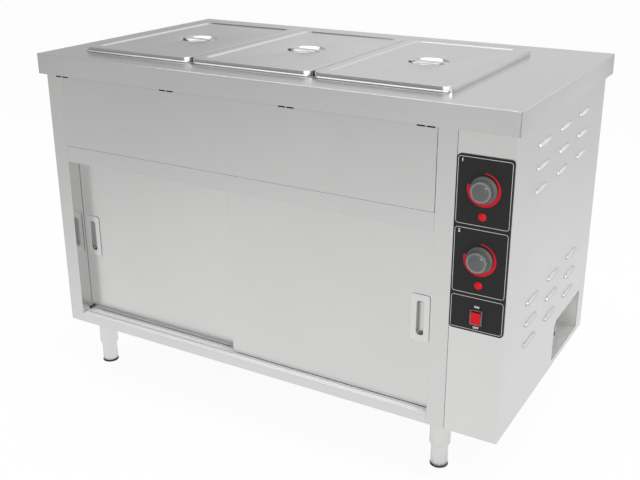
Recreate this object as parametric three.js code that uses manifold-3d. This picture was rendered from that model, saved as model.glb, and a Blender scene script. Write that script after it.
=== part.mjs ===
// Bain marie counter: three covered pans in a water tank over a heated cupboard.
// Millimetres, +Z up. The origin is on the floor under the middle of the counter with its knobs,
// the front faces -Y and the control box is at the +X end.

import * as THREE from 'three';
import { mergeVertices } from 'three/addons/utils/BufferGeometryUtils.js';
import Module from 'manifold-3d';

const wasm = await Module();
wasm.setup();

// Gaps and sheet
const seat = 0.3; // left between two pieces that touch
const overcut = 6; // a cutting tool runs this far past a face
const sheet = 1.5; // body panels

// Worktop and its fascia; the margins are bare worktop round the pans
const worktop = { height: 893, sheet: 2, fascia: 50, lip: 12, cornerRadius: 3 };
const margin = { left: 81.8, right: 182.2, front: 81.8, back: 104.2 };
const overhang = { left: 18, right: 7, front: 11, back: 42 };

// Cabinet body
const body = { floorGap: 158, stile: 42.5, rail: 25, header: 42, jamb: 56 };
const box = { width: 122.5, seam: 1, returnDepth: 20 };
const apron = { gap: 1.2, seam: 0.6, flange: 15, slotLength: 41, slotHeight: 4, slotDrop: 52, bridge: 3 };
const apronSlots = { count: 4, first: 68, pitch: 331 };
const back = { slotLength: 60, slotHeight: 5, slotPitch: 18, slotRows: 6, slotRise: 60, slotInset: 30 };

// Sliding doors and their tracks
const door = {
  recess: 18, thickness: 15, pitch: 19, sideGap: 0.6,
  overlap: 45, rise: 5.5, topLap: 12, skin: 1.2,
};
const hanger = { width: 16, thickness: 2, inset: 60, above: 5 };
const guide = { length: 40, thickness: 2, clear: 1.5 };
const roller = { radius: 8, width: 4.8, sideGap: 0.4, axleRadius: 2 };
const track = { web: 2, inner: 17, ledge: 5.5, clear: 4 };
const headerFlange = { bottom: 14, topLap: 2 };
const ridge = { height: 4, width: 2 };
const trackHole = { radius: 4, fromJamb: 12 };
const cup = { width: 45, height: 112, radius: 6, plate: 1.2, depth: 11, wall: 1.2, slot: 18, slotHeight: 82,
  slotRadius: 6 };
const cupPlace = { fromEdge: 30.4, belowDoorwayTop: 212 };

// Wells, pans and lids
const pan = { length: 530, width: 325, depth: 150, flange: 12, wall: 1.2, taper: 13 };
const panCorner = { flange: 18, bowl: 40 };
const wells = { count: 3, gap: 10.5, rest: 9, radius: 24 };
const panBar = { bearing: 7.75, skirt: 16, sheet: 2, tongue: 9, legGap: 1 };
const lid = { rise: 9.2, sheet: 1.2, slopeInset: 24, panelInset: 33, panelDrop: 4.5 };
const lidCup = { radius: 47, slope: 5, depth: 16 };
const lidBar = { width: 14, sheet: 2, lap: 8, foot: 4, ramp: 12, rise: 3 };

// Water tank, its heater and its drain
const tank = { margin: 12, underPans: 50, wall: 1.5, rim: 5, radius: 3 };
const element = {
  radius: 4.25, above: 18, span: 940, spread: 60, plate: 3,
  plateLength: 88, plateHeight: 22,
};
const elementPlace = { behindMiddle: 105, terminal: 12 };
const drain = {
  radius: 11, bore: 9, bend: 14, flangeRadius: 20,
  flange: 3, besideWell: 40, intoRecess: 53.5,
};
const drainRun = { belowTank: 16, aboveCeiling: 5.5, fromBoxLeft: 44.5, valveDrop: 58, lead: 17 };
const recess = {
  width: 220, height: 108, fromBack: 50, above: 15,
  depth: 100, wall: 1.2, lip: 9, chamfer: 14,
};
const valve = {
  nut: 15, nutLength: 10, neck: 12, neckLength: 3,
  body: 17, bodyLength: 22, spout: 11, bore: 8,
};
const valveEnd = { spoutLength: 14, ball: 9, bossRadius: 6, bossRise: 5, pinRadius: 2.5, pinDepth: 6 };
const lever = { length: 62, width: 12, thickness: 3, hub: 9 };

// Heated cupboard
const shelf = { height: 220, frontGap: 11, backGap: 12, flange: 22 };
const airHeater = {
  radius: 4, rise: 14, length: 560, spread: 80, plate: 2,
  plateLength: 130, plateHeight: 20,
};
const cover = { length: 500, depth: 240, height: 30, sheet: 1.2 };
const coverSlots = { length: 70, width: 8, columns: 4, rows: 4 };

// Legs
const leg = {
  radius: 25, footRadius: 20.7, flangeRadius: 28,
  flange: 3, step: 57, chamfer: 4, fromSide: 42.5,
};
const legPlace = { fromFront: 90, fromBack: 90 };
const foot = { bodyTop: 74, stemRadius: 8, stemTop: 130, plug: 22, edge: 1 };

// Louvres of the side panel
const louvre = { length: 84, height: 10, rise: 5, sheet: 1.2, slit: 1, pitchY: 152.5, pitchZ: 51 };
const louvreField = { columns: 3, rows: 3, fromFront: 142, topDrop: 102, lowDrop: 461 };

// Control plate and what it carries
const plate = { side: 1.7, topDrop: 99, height: 380.5, thickness: 3, radius: 8 };
const controls = { knobDrop: 68.3, knobPitch: 149.2, lampDrop: 56.5, switchDrop: 346.4 };
const knob = { skirt: 28.5, skirtHeight: 4, shoulder: 25.4, cap: 22.9, height: 19, flutes: 16, flute: 1.4 };
const knobFit = { gap: 0.6, shaftRadius: 3, shaftLength: 16, edge: 1.2 };
const thermostat = { width: 44, height: 50, depth: 38, bushRadius: 5 };
const lamp = { radius: 9, rise: 4, stem: 6.5, stemLength: 22 };
const rockerSwitch = { width: 27, height: 34, bezel: 2.5, radius: 2 };
const switchBody = { width: 25.2, height: 32.4, depth: 26 };
const rocker = { width: 21.4, height: 27.6, tip: 6, valley: 3, root: 3, rootHalf: 8 };
const rockerSide = { depth: 3.5, half: 14.1 };
const rockerFit = { cavityHeight: 30, cavityWidth: 22, cavity: 14, pin: 1.5, pinLength: 1.3, half: 9 };
const gland = { radius: 11, nut: 14, nutLength: 6, length: 20, bore: 5, rise: 90, fromSide: 60 };

// Facets
const facets = {
  corner: 2, bend: 2, small: 8, round: 16, knob: 32,
  foot: 14, flute: 4, hoodCap: 2, hood: 10,
};

// Finishes
const brushed = { color: 0xc2c2bf, roughness: 0.36, metalness: 1 };
const bright = { color: 0xd4d4d2, roughness: 0.2, metalness: 1 };
const galvanised = { color: 0xa9acad, roughness: 0.55, metalness: 0.9 };
const nickel = { color: 0xb9b8b2, roughness: 0.35, metalness: 1 };
const sheath = { color: 0x5d5f60, roughness: 0.5, metalness: 0.8 };
const darkPlate = { color: 0x303131, roughness: 0.5, metalness: 0 };
const darkPlastic = { color: 0x4b4c4d, roughness: 0.45, metalness: 0 };
const redPlastic = { color: 0xc4202e, roughness: 0.35, metalness: 0 };
const nylon = { color: 0xe4e2da, roughness: 0.5, metalness: 0 };

// Faces of the worktop and body
const panPitch = pan.width + wells.gap;
const topLength = margin.left + (wells.count - 1) * panPitch + pan.width + margin.right;
const topDepth = margin.front + pan.length + margin.back;
const topLeft = -topLength / 2;
const topRight = topLength / 2;
const knobReach = Math.max(0, seat + plate.thickness + knobFit.gap + knob.height - overhang.front);
const topFront = (knobReach - topDepth) / 2;
const topBack = topFront + topDepth;
const topZ = worktop.height;
const underTop = topZ - worktop.sheet - seat;
const bodyLeft = topLeft + overhang.left;
const bodyRight = topRight - overhang.right;
const bodyFront = topFront + overhang.front;
const bodyBack = topBack - overhang.back;
const bodyBottom = body.floorGap;
const insideLeft = bodyLeft + sheet + seat;
const insideRight = bodyRight - sheet - seat;
const insideFront = bodyFront + sheet + seat;
const insideBack = bodyBack - sheet - seat;
const boxLeft = bodyRight - box.width;
const doorwayLeft = bodyLeft + body.stile;
const doorwayRight = boxLeft - body.stile;
const doorwayBottom = bodyBottom + body.rail;
const tankFloor = topZ - pan.depth - tank.underPans;
const pipeZ = tankFloor - tank.wall - drainRun.belowTank;
const headerTop = pipeZ - drain.radius - drainRun.aboveCeiling;
const doorwayTop = headerTop - body.header;
const cupboardRight = boxLeft - sheet - seat;
const bodyMiddle = (bodyFront + bodyBack) / 2;

// Lines of the two door runs, front first
const runLines = [0, 1].map((run) => bodyFront + door.recess + door.thickness / 2 + run * door.pitch);
const doorBottom = doorwayBottom + door.rise;
const doorTop = doorwayTop + door.topLap;
const trackBottom = doorTop + track.clear;
const trackTop = headerTop - sheet - seat;
const rollerZ = trackBottom + track.web + seat + roller.radius;
const trackFront = runLines[0] - track.inner / 2 - track.web;
const trackBack = runLines[1] + track.inner / 2 + track.web;
const halfPitch = door.pitch / 2;
const ridgeLines = [runLines[0] - halfPitch, runLines[0] + halfPitch, runLines[1] + halfPitch];
const railBack = ridgeLines[2] + ridge.width / 2 + sheet;

// Solids from three.js geometry
const { Manifold, Mesh: SolidMesh } = wasm;

function solid(geometry) {
  const bare = geometry.clone();
  bare.deleteAttribute('normal');
  bare.deleteAttribute('uv');
  const merged = mergeVertices(bare);
  const at = merged.attributes.position.array;
  const faces = [];
  let volume = 0;
  const corner = (i) => new THREE.Vector3(at[3 * i], at[3 * i + 1], at[3 * i + 2]);
  for (let i = 0; i < merged.index.count; i += 3) {
    const [a, b, c] = [0, 1, 2].map((k) => merged.index.array[i + k]);
    if (a === b || b === c || c === a) continue;
    faces.push([a, b, c]);
    volume += corner(a).dot(corner(b).cross(corner(c)));
  }
  const turned = volume < 0 ? faces.map(([a, b, c]) => [a, c, b]) : faces;
  const mesh = {
    numProp: 3, vertProperties: new Float32Array(at), triVerts: new Uint32Array(turned.flat()),
  };
  return new Manifold(new SolidMesh(mesh));
}

// A unit shape's corners are moved to exact places, so that faces meant to line up do
function remap(geometry, move) {
  const at = geometry.attributes.position;
  for (let i = 0; i < at.count; i += 1) at.setXYZ(i, ...move(at.getX(i), at.getY(i), at.getZ(i)));
  return solid(geometry);
}

function block(x, y, z) {
  const pick = (span, side) => (side < 0 ? span[0] : span[1]);
  return remap(new THREE.BoxGeometry(1, 1, 1), (u, v, w) => [pick(x, u), pick(y, v), pick(z, w)]);
}

function add(...solids) {
  return solids.flat().reduce((all, next) => all.add(next));
}

function cut(from, ...tools) {
  return tools.flat().reduce((left, tool) => left.subtract(tool), from);
}

// An outline in the plane across the axis, pushed along the axis between two places
function push(outline, axis, [from, to], curveSegments = facets.corner) {
  const shape = outline instanceof THREE.Shape ? outline : new THREE.Shape(outline);
  const options = { depth: 1, bevelEnabled: false, curveSegments };
  const along = (w) => (w > 1 / 2 ? to : from);
  const place = {
    x: (u, v, w) => [along(w), u, v],
    y: (u, v, w) => [u, along(w), v],
    z: (u, v, w) => [u, v, along(w)],
  };
  return remap(new THREE.ExtrudeGeometry(shape, options), place[axis]);
}

function points(list) {
  return list.map(([u, v]) => new THREE.Vector2(u, v));
}

// A rectangle with round corners
function roundRectangle([left, right], [low, high], radius) {
  const shape = new THREE.Shape();
  shape.moveTo(left + radius, low);
  shape.absarc(right - radius, low + radius, radius, -Math.PI / 2, 0);
  shape.absarc(right - radius, high - radius, radius, 0, Math.PI / 2);
  shape.absarc(left + radius, high - radius, radius, Math.PI / 2, Math.PI);
  shape.absarc(left + radius, low + radius, radius, Math.PI, (3 * Math.PI) / 2);
  return shape;
}

// A turned piece: its profile is [radius, distance along the axis], measured from the place
function turn(profile, axis = 'z', place = [0, 0, 0], sides = facets.round) {
  const geometry = new THREE.LatheGeometry(points(profile), sides);
  if (axis === 'z') geometry.rotateX(Math.PI / 2);
  if (axis === 'x') geometry.rotateZ(-Math.PI / 2);
  return solid(geometry.translate(...place));
}

function rod(radius, [from, to], axis, place, sides = facets.small) {
  return turn([[0, from], [radius, from], [radius, to], [0, to]], axis, place, sides);
}

// A hole that clears a round piece of this radius all the way round
function bore(radius, span, axis, place) {
  return rod((radius + seat) / Math.cos(Math.PI / facets.round), span, axis, place, facets.round);
}

// A closed skin over a stack of rings that have the same number of points
function loft(rings) {
  const count = rings[0].length;
  const at = rings.flat().flatMap((point) => point.toArray());
  const faces = [];
  rings.slice(1).forEach((_, level) => {
    for (let i = 0; i < count; i += 1) {
      const [a, b] = [level * count + i, level * count + (i + 1) % count];
      faces.push(a, b, b + count, a, b + count, a + count);
    }
  });
  const last = (rings.length - 1) * count;
  for (let i = 1; i < count - 1; i += 1) faces.push(0, i + 1, i, last, last + i, last + i + 1);
  const geometry = new THREE.BufferGeometry();
  geometry.setAttribute('position', new THREE.Float32BufferAttribute(at, 3));
  geometry.setIndex(faces);
  return solid(geometry);
}

// A ring of points round a rectangle with round corners, centred on the axis at height z
function ring(width, length, radius, z) {
  const outline = roundRectangle([-width / 2, width / 2], [-length / 2, length / 2], radius);
  return outline.getPoints(facets.corner).slice(0, -1).map((p) => new THREE.Vector3(p.x, p.y, z));
}

// A tube along straight runs with round bends; the stretch option moves its two ends on or back
function tube(route, radius, bend, sides = facets.small, stretch = 0) {
  const path = route.map((point) => new THREE.Vector3(...point));
  const stations = [];
  path.forEach((point, i) => {
    const back = i > 0 ? path[i - 1].clone().sub(point).normalize() : null;
    const ahead = i < path.length - 1 ? path[i + 1].clone().sub(point).normalize() : null;
    if (!back) stations.push([point.clone().addScaledVector(ahead, -stretch), ahead]);
    else if (!ahead) stations.push([point.clone().addScaledVector(back, -stretch), back.clone().negate()]);
    else {
      const arc = new THREE.QuadraticBezierCurve3(
        point.clone().addScaledVector(back, bend), point, point.clone().addScaledVector(ahead, bend));
      for (let k = 0; k <= facets.bend; k += 1) {
        stations.push([arc.getPoint(k / facets.bend), arc.getTangent(k / facets.bend)]);
      }
    }
  });
  const across = new THREE.Vector3(0, 1, 0);
  if (Math.abs(stations[0][1].y) > 1 / 2) across.set(0, 0, 1);
  return loft(stations.map(([centre, along]) => {
    const v = along.clone().cross(across).normalize();
    const u = v.clone().cross(along).normalize();
    return Array.from({ length: sides }, (_, k) => {
      const angle = (2 * Math.PI * k) / sides;
      return centre.clone().addScaledVector(u, radius * Math.cos(angle))
        .addScaledVector(v, radius * Math.sin(angle));
    });
  }));
}

// The finished assembly
const counter = new THREE.Group();
counter.name = 'bain_marie';

function piece(name, shape, finish, place = [0, 0, 0], parent = counter) {
  const { vertProperties, triVerts } = shape.getMesh();
  const geometry = new THREE.BufferGeometry();
  geometry.setAttribute('position', new THREE.Float32BufferAttribute(vertProperties, 3));
  geometry.setIndex([...triVerts]);
  geometry.computeVertexNormals();
  const mesh = new THREE.Mesh(geometry, new THREE.MeshStandardMaterial({ ...finish, flatShading: true }));
  mesh.name = name;
  mesh.position.set(...place);
  parent.add(mesh);
  return mesh;
}

function groupAt(place, parent = counter) {
  const group = new THREE.Group();
  group.position.set(...place);
  parent.add(group);
  return group;
}

// Places of the wells, seen from above
const lidFront = topFront + margin.front;
const wellFront = lidFront + wells.rest;
const wellBack = lidFront + pan.length - wells.rest;
const wellMiddle = (wellFront + wellBack) / 2;
const panX = Array.from({ length: wells.count }, (_, i) => (
  topLeft + margin.left + pan.width / 2 + i * panPitch));
const wellLeft = panX[0] - pan.width / 2 + wells.rest;
const wellRight = panX[wells.count - 1] + pan.width / 2 - wells.rest;

// Worktop: a folded top with a fascia, a turned-in lip and one well opening
function worktopShape() {
  const low = topZ - worktop.fascia;
  const lipFor = (reach) => Math.min(worktop.lip, reach - seat);
  const outline = roundRectangle([topLeft, topRight], [topFront, topBack], worktop.cornerRadius);
  const inner = block([topLeft + worktop.sheet, topRight - worktop.sheet],
    [topFront + worktop.sheet, topBack - worktop.sheet], [low + worktop.sheet, topZ - worktop.sheet]);
  const mouth = block([topLeft + lipFor(overhang.left), topRight - lipFor(overhang.right)],
    [topFront + lipFor(overhang.front), topBack - lipFor(overhang.back)],
    [low - overcut, low + 2 * worktop.sheet]);
  const well = push(roundRectangle([wellLeft, wellRight], [wellFront, wellBack], wells.radius), 'z',
    [topZ - worktop.sheet - overcut, topZ + overcut]);
  return cut(push(outline, 'z', [low, topZ]), inner, mouth, well);
}
piece('worktop', worktopShape(), brushed);

// Bars between the pans: a channel with tongues that hang under the worktop
function panBarShape() {
  const half = wells.gap / 2 + panBar.bearing;
  const across = [-half - overcut, half + overcut];
  const skirtLow = topZ - panBar.skirt;
  const ends = [wellFront - panBar.tongue, wellBack + panBar.tongue];
  const clear = (into, z) => [
    block(across, [ends[0] - overcut, wellFront + into], z),
    block(across, [wellBack - into, ends[1] + overcut], z)];
  const above = clear(seat, [underTop, topZ + overcut]);
  const below = clear(panBar.legGap, [skirtLow - overcut, underTop - panBar.sheet]);
  const hollow = block([-half + panBar.sheet, half - panBar.sheet],
    [wellFront + worktop.lip, wellBack - worktop.lip], [skirtLow - overcut, topZ - panBar.sheet]);
  return cut(block([-half, half], ends, [skirtLow, topZ]), above, below, hollow);
}
for (let i = 1; i < wells.count; i += 1) {
  piece(`pan_bar_${i}`, panBarShape(), brushed, [(panX[i - 1] + panX[i]) / 2, 0, 0]);
}

// Water tank: a deep tray hung under the well by its rim
const tankLeft = wellLeft - tank.margin;
const tankRight = wellRight + tank.margin;
const tankFront = wellFront - tank.margin;
const tankBack = wellBack + tank.margin;
const elementZ = tankFloor + element.above;
const elementMiddle = bodyMiddle + elementPlace.behindMiddle;
const elementY = [-1, 1].map((side) => elementMiddle + (side * element.spread) / 2);
const recessBottom = bodyBottom + recess.above;
const recessTop = recessBottom + recess.height;
const recessBack = bodyBack - recess.fromBack;
const recessFront = recessBack - recess.width;
const drainX = wellRight - drain.besideWell;
const drainY = recessFront + drain.intoRecess;

function tankShape() {
  const grown = (by) => roundRectangle([tankLeft - by, tankRight + by], [tankFront - by, tankBack + by],
    tank.radius + by);
  const whole = push(grown(tank.wall + tank.rim), 'z', [tankFloor - tank.wall, underTop]);
  const around = cut(push(grown(tank.wall + tank.rim + overcut), 'z',
    [tankFloor - tank.wall - overcut, underTop - tank.wall]),
  push(grown(tank.wall), 'z', [tankFloor - tank.wall - 2 * overcut, underTop]));
  const inner = push(grown(0), 'z', [tankFloor, underTop + overcut]);
  const waste = rod(drain.bore, [tankFloor - overcut, tankFloor + overcut], 'z', [drainX, drainY, 0]);
  const glands = elementY.map((y) => (
    bore(element.radius, [tankRight - overcut, tankRight + overcut], 'x', [0, y, elementZ])));
  return cut(whole, around, inner, waste, glands);
}
piece('water_tank', tankShape(), brushed);

// Immersion heater: one hairpin with a plate outside the tank wall
function hairpin(ends, xEnd, length, radius) {
  const bend = (ends[1][1] - ends[0][1]) / 2;
  const far = xEnd - length;
  const route = [ends[0], [far, ends[0][1], ends[0][2]], [far, ends[1][1], ends[1][2]], ends[1]];
  return tube(route, radius, bend - seat, facets.small);
}

function tankHeaterShape() {
  const out = tankRight + tank.wall + seat + element.plate + elementPlace.terminal;
  const ends = elementY.map((y) => [out, y, elementZ]);
  const face = tankRight + tank.wall + seat;
  const plateBlock = block([face, face + element.plate],
    [elementMiddle - element.plateLength / 2, elementMiddle + element.plateLength / 2],
    [elementZ - element.plateHeight / 2, elementZ + element.plateHeight / 2]);
  return add(hairpin(ends, out, element.span, element.radius), plateBlock);
}
piece('tank_heater', tankHeaterShape(), sheath);

// Drain: from the tank floor, over the cupboard, down the control box to the recess
const pipeX = boxLeft + drainRun.fromBoxLeft;
const valveZ = recessTop - drainRun.valveDrop;
const valveX = pipeX + drainRun.lead;
const pipeRoute = [
  [drainX, drainY, tankFloor - tank.wall - seat], [drainX, drainY, pipeZ], [pipeX, drainY, pipeZ],
  [pipeX, drainY, valveZ], [valveX, drainY, valveZ]];

function drainPipeShape() {
  const top = tankFloor - tank.wall - seat;
  const flange = rod(drain.flangeRadius, [top - drain.flange, top], 'z', [drainX, drainY, 0], facets.round);
  const [start, ...rest] = pipeRoute;
  const pipe = tube([[start[0], start[1], start[2] - drain.flange / 2], ...rest], drain.radius, drain.bend);
  return cut(add(flange, pipe), tube(pipeRoute, drain.bore, drain.bend, facets.small, overcut));
}
piece('drain_pipe', drainPipeShape(), bright);

// Side recess: an open-fronted tray behind the side panel, for the drain valve
function recessOutline(by) {
  const [front, rear, low, high] = [recessFront - by, recessBack + by, recessBottom - by, recessTop + by];
  return points([[front, low], [rear, low], [rear, high], [front + recess.chamfer, high],
    [front, high - recess.chamfer]]);
}

function recessShape() {
  const deep = insideRight - recess.depth;
  const whole = push(recessOutline(recess.lip), 'x', [deep, insideRight]);
  const around = cut(
    push(recessOutline(recess.lip + overcut), 'x', [deep - overcut, insideRight - recess.wall]),
    push(recessOutline(recess.wall), 'x', [deep - 2 * overcut, insideRight]));
  const inner = push(recessOutline(0), 'x', [deep + recess.wall, insideRight + overcut]);
  const way = bore(drain.radius, [recessTop - overcut, recessTop + overcut], 'z', [pipeX, drainY, 0]);
  return cut(whole, around, inner, way);
}
piece('drain_recess', recessShape(), galvanised);

// Drain valve: a ball valve with a lever that turns a quarter of a turn
const valveLine = [valveX + seat, drainY, valveZ];
const ballX = valve.nutLength + valve.neckLength + valve.bodyLength / 2;

function valveShape() {
  const neckEnd = valve.nutLength + valve.neckLength;
  const bodyEnd = neckEnd + valve.bodyLength;
  const end = bodyEnd + valveEnd.spoutLength;
  const edge = valve.body - valve.neck;
  const shell = turn([
    [0, ballX - valveEnd.ball / 2], [valve.bore, ballX - valveEnd.ball / 2], [valve.bore, 0],
    [valve.nut, 0], [valve.nut, valve.nutLength], [valve.neck, valve.nutLength],
    [valve.neck, neckEnd], [valve.body, neckEnd + edge], [valve.body, bodyEnd - edge],
    [valve.neck, bodyEnd], [valve.spout, bodyEnd], [valve.spout, end],
    [valve.bore, end], [valve.bore, ballX + valveEnd.ball / 2],
    [0, ballX + valveEnd.ball / 2]], 'x');
  const top = valve.body + valveEnd.bossRise;
  const boss = rod(valveEnd.bossRadius, [valve.body - edge, top], 'z', [ballX, 0, 0]);
  const depth = [top - valveEnd.pinDepth - seat, top + overcut];
  const socket = bore(valveEnd.pinRadius, depth, 'z', [ballX, 0, 0]);
  return cut(add(shell, boss), socket);
}
piece('drain_valve', valveShape(), nickel, valveLine);

function leverShape() {
  const half = lever.width / 2;
  const meet = Math.asin(half / lever.hub);
  const outline = new THREE.Shape();
  outline.absarc(0, 0, lever.hub, Math.PI / 2 + meet, (5 * Math.PI) / 2 - meet);
  outline.absarc(0, lever.length - half, half, 0, Math.PI);
  const pin = rod(valveEnd.pinRadius, [-valveEnd.pinDepth, lever.thickness / 2], 'z');
  return add(push(outline, 'z', [0, lever.thickness], facets.small), pin);
}
piece('drain_lever', leverShape(), bright,
  [valveLine[0] + ballX, drainY, valveZ + valve.body + valveEnd.bossRise + seat]);

// Side, back and floor panels
const sideY = [insideFront, insideBack];
const fullZ = [bodyBottom, underTop];
piece('side_panel_left', block([bodyLeft, bodyLeft + sheet], sideY, fullZ), brushed);

const glandPlace = [bodyRight - gland.fromSide, 0, underTop - worktop.fascia - gland.rise];

function backShape() {
  const panel = block([bodyLeft, bodyRight], [bodyBack - sheet, bodyBack], fullZ);
  const slots = Array.from({ length: back.slotRows }, (_, row) => {
    const z = bodyBottom + back.slotRise + row * back.slotPitch;
    return block([boxLeft + back.slotInset, boxLeft + back.slotInset + back.slotLength],
      [bodyBack - sheet - overcut, bodyBack + overcut], [z, z + back.slotHeight]);
  });
  const outlet = bore(gland.radius, [bodyBack - overcut, bodyBack + overcut], 'y', glandPlace);
  return cut(panel, slots, outlet);
}
piece('back_panel', backShape(), brushed);

function cabinetFloorShape() {
  const wide = [insideLeft, cupboardRight];
  const deep = [railBack + seat, insideBack];
  const under = block([wide[0] + sheet, wide[1] - sheet], [deep[0] - overcut, deep[1] - sheet],
    [bodyBottom - overcut, doorwayBottom - sheet]);
  return cut(block(wide, deep, [bodyBottom, doorwayBottom]), under);
}
piece('cabinet_floor', cabinetFloorShape(), brushed);

// Partition between the cupboard and the control box
const airHeaterZ = doorwayBottom + airHeater.rise;
const airHeaterMiddle = (railBack + insideBack) / 2;
const airHeaterY = [-1, 1].map((side) => airHeaterMiddle + (side * airHeater.spread) / 2);

function partitionShape() {
  const wall = block([boxLeft - sheet, boxLeft], sideY, fullZ);
  const hole = (radius, y, z) => bore(radius, [boxLeft - overcut, boxLeft + overcut], 'x', [0, y, z]);
  return cut(wall, hole(drain.radius, drainY, pipeZ),
    airHeaterY.map((y) => hole(airHeater.radius, y, airHeaterZ)));
}
piece('partition', partitionShape(), galvanised);

// Stiles: a face plate with a jamb that the doors close against
const slotMiddles = Array.from({ length: apronSlots.count }, (_, i) => (
  topLeft + apronSlots.first + i * apronSlots.pitch));

// Each slot under the worktop is cut in two halves with a bridge between them
const slotTools = slotMiddles.flatMap((middle) => {
  const high = topZ - apron.slotDrop;
  const deep = [bodyFront - overcut, bodyFront + sheet + overcut];
  const [half, reach] = [apron.bridge / 2, apron.slotLength / 2];
  return [[middle - reach, middle - half], [middle + half, middle + reach]].map((x) => (
    block(x, deep, [high - apron.slotHeight, high])));
});

function stileShape(face, jamb) {
  const whole = block(face, [bodyFront, bodyFront + body.jamb], fullZ);
  const openX = jamb[0] > face[0] ? [face[0] - overcut, jamb[0]] : [jamb[1], face[1] + overcut];
  const behind = block(openX, [bodyFront + sheet, bodyFront + body.jamb + overcut],
    [bodyBottom - overcut, underTop + overcut]);
  return cut(whole, behind, slotTools);
}
piece('stile_left', stileShape([bodyLeft, doorwayLeft], [doorwayLeft - sheet, doorwayLeft]), brushed);
piece('stile_right', stileShape([doorwayRight, boxLeft], [doorwayRight, doorwayRight + sheet]), brushed);

// Apron, header rail and bottom rail between the stiles
const between = [doorwayLeft + seat, doorwayRight - seat];
const flangeBack = trackBack + headerFlange.topLap;

function apronShape() {
  const low = headerTop + apron.seam;
  const wide = [between[0], doorwayRight - apron.gap];
  const outline = points([
    [bodyFront, low], [bodyFront + apron.flange, low], [bodyFront + apron.flange, low + sheet],
    [bodyFront + sheet, low + sheet], [bodyFront + sheet, underTop], [bodyFront, underTop]]);
  return cut(push(outline, 'x', wide), slotTools);
}
piece('apron_panel', apronShape(), brushed);

function headerShape() {
  return push(points([
    [bodyFront, doorwayTop], [bodyFront + headerFlange.bottom, doorwayTop],
    [bodyFront + headerFlange.bottom, doorwayTop + sheet], [bodyFront + sheet, doorwayTop + sheet],
    [bodyFront + sheet, headerTop - sheet], [flangeBack, headerTop - sheet], [flangeBack, headerTop],
    [bodyFront, headerTop]]), 'x', between);
}
piece('header_rail', headerShape(), brushed);

// Bottom rail: its top carries three ridges that make the two door grooves
function bottomRailShape() {
  const half = ridge.width / 2;
  const [top, crest] = [doorwayBottom, doorwayBottom + ridge.height];
  const ridges = ridgeLines.flatMap((y) => [
    [y - half, top], [y - half, crest], [y + half, crest], [y + half, top]]);
  const outline = [
    [bodyFront, bodyBottom], [bodyFront, top], ...ridges, [railBack, top], [railBack, bodyBottom],
    [railBack - sheet, bodyBottom], [railBack - sheet, top - sheet], [bodyFront + sheet, top - sheet],
    [bodyFront + sheet, bodyBottom]];
  const hole = rod(trackHole.radius, [top - overcut, top + overcut], 'z',
    [doorwayLeft + trackHole.fromJamb, runLines[1], 0]);
  return cut(push(points(outline), 'x', between), hole);
}
piece('bottom_rail', bottomRailShape(), brushed);

// Top track: two slotted runs side by side; the door rollers ride on the ledges
function topTrackShape() {
  const whole = block(between, [trackFront, trackBack], [trackBottom, trackTop]);
  const runs = runLines.flatMap((y) => [
    block([between[0] - overcut, between[1] + overcut], [y - track.inner / 2, y + track.inner / 2],
      [trackBottom + track.web, trackTop - track.web]),
    block([between[0] - overcut, between[1] + overcut],
      [y - track.inner / 2 + track.ledge, y + track.inner / 2 - track.ledge],
      [trackBottom - overcut, trackBottom + 2 * track.web])]);
  return cut(whole, runs);
}
piece('top_track', topTrackShape(), galvanised);

// Cupboard: ceiling under the tank, shelf, heater and its vented cover
piece('cupboard_ceiling', block([insideLeft, cupboardRight], [flangeBack + seat, insideBack],
  [headerTop - sheet, headerTop]), brushed);

const shelfTop = doorwayBottom + shelf.height;
const shelfY = [bodyFront + body.jamb + shelf.frontGap, insideBack - shelf.backGap];

function shelfShape() {
  const wide = [insideLeft, cupboardRight];
  const low = shelfTop - shelf.flange;
  const under = block([wide[0] - overcut, wide[1] + overcut], [shelfY[0] + sheet, shelfY[1] - sheet],
    [low - overcut, shelfTop - sheet]);
  return cut(block(wide, shelfY, [low, shelfTop]), under);
}
piece('cupboard_shelf', shelfShape(), brushed);

function airHeaterShape() {
  const face = boxLeft + seat;
  const out = face + airHeater.plate + elementPlace.terminal;
  const ends = airHeaterY.map((y) => [out, y, airHeaterZ]);
  const plateBlock = block([face, face + airHeater.plate],
    [airHeaterMiddle - airHeater.plateLength / 2, airHeaterMiddle + airHeater.plateLength / 2],
    [airHeaterZ - airHeater.plateHeight / 2, airHeaterZ + airHeater.plateHeight / 2]);
  return add(hairpin(ends, out, airHeater.length, airHeater.radius), plateBlock);
}
piece('cupboard_heater', airHeaterShape(), sheath);

function coverShape() {
  const right = cupboardRight - cover.height;
  const wide = [right - cover.length, right];
  const deep = [airHeaterMiddle - cover.depth / 2, airHeaterMiddle + cover.depth / 2];
  const low = doorwayBottom + seat;
  const whole = block(wide, deep, [low, low + cover.height]);
  const under = block([wide[0] - overcut, wide[1] + overcut], [deep[0] + cover.sheet, deep[1] - cover.sheet],
    [low - overcut, low + cover.height - cover.sheet]);
  const slots = [];
  for (let column = 0; column < coverSlots.columns; column += 1) {
    for (let row = 0; row < coverSlots.rows; row += 1) {
      const x = wide[0] + (cover.length * (column + 1 / 2)) / coverSlots.columns;
      const y = deep[0] + (cover.depth * (row + 1 / 2)) / coverSlots.rows;
      slots.push(block([x - coverSlots.length / 2, x + coverSlots.length / 2],
        [y - coverSlots.width / 2, y + coverSlots.width / 2], [low, low + cover.height + overcut]));
    }
  }
  return cut(whole, under, slots);
}
piece('heater_cover', coverShape(), brushed);

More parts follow.
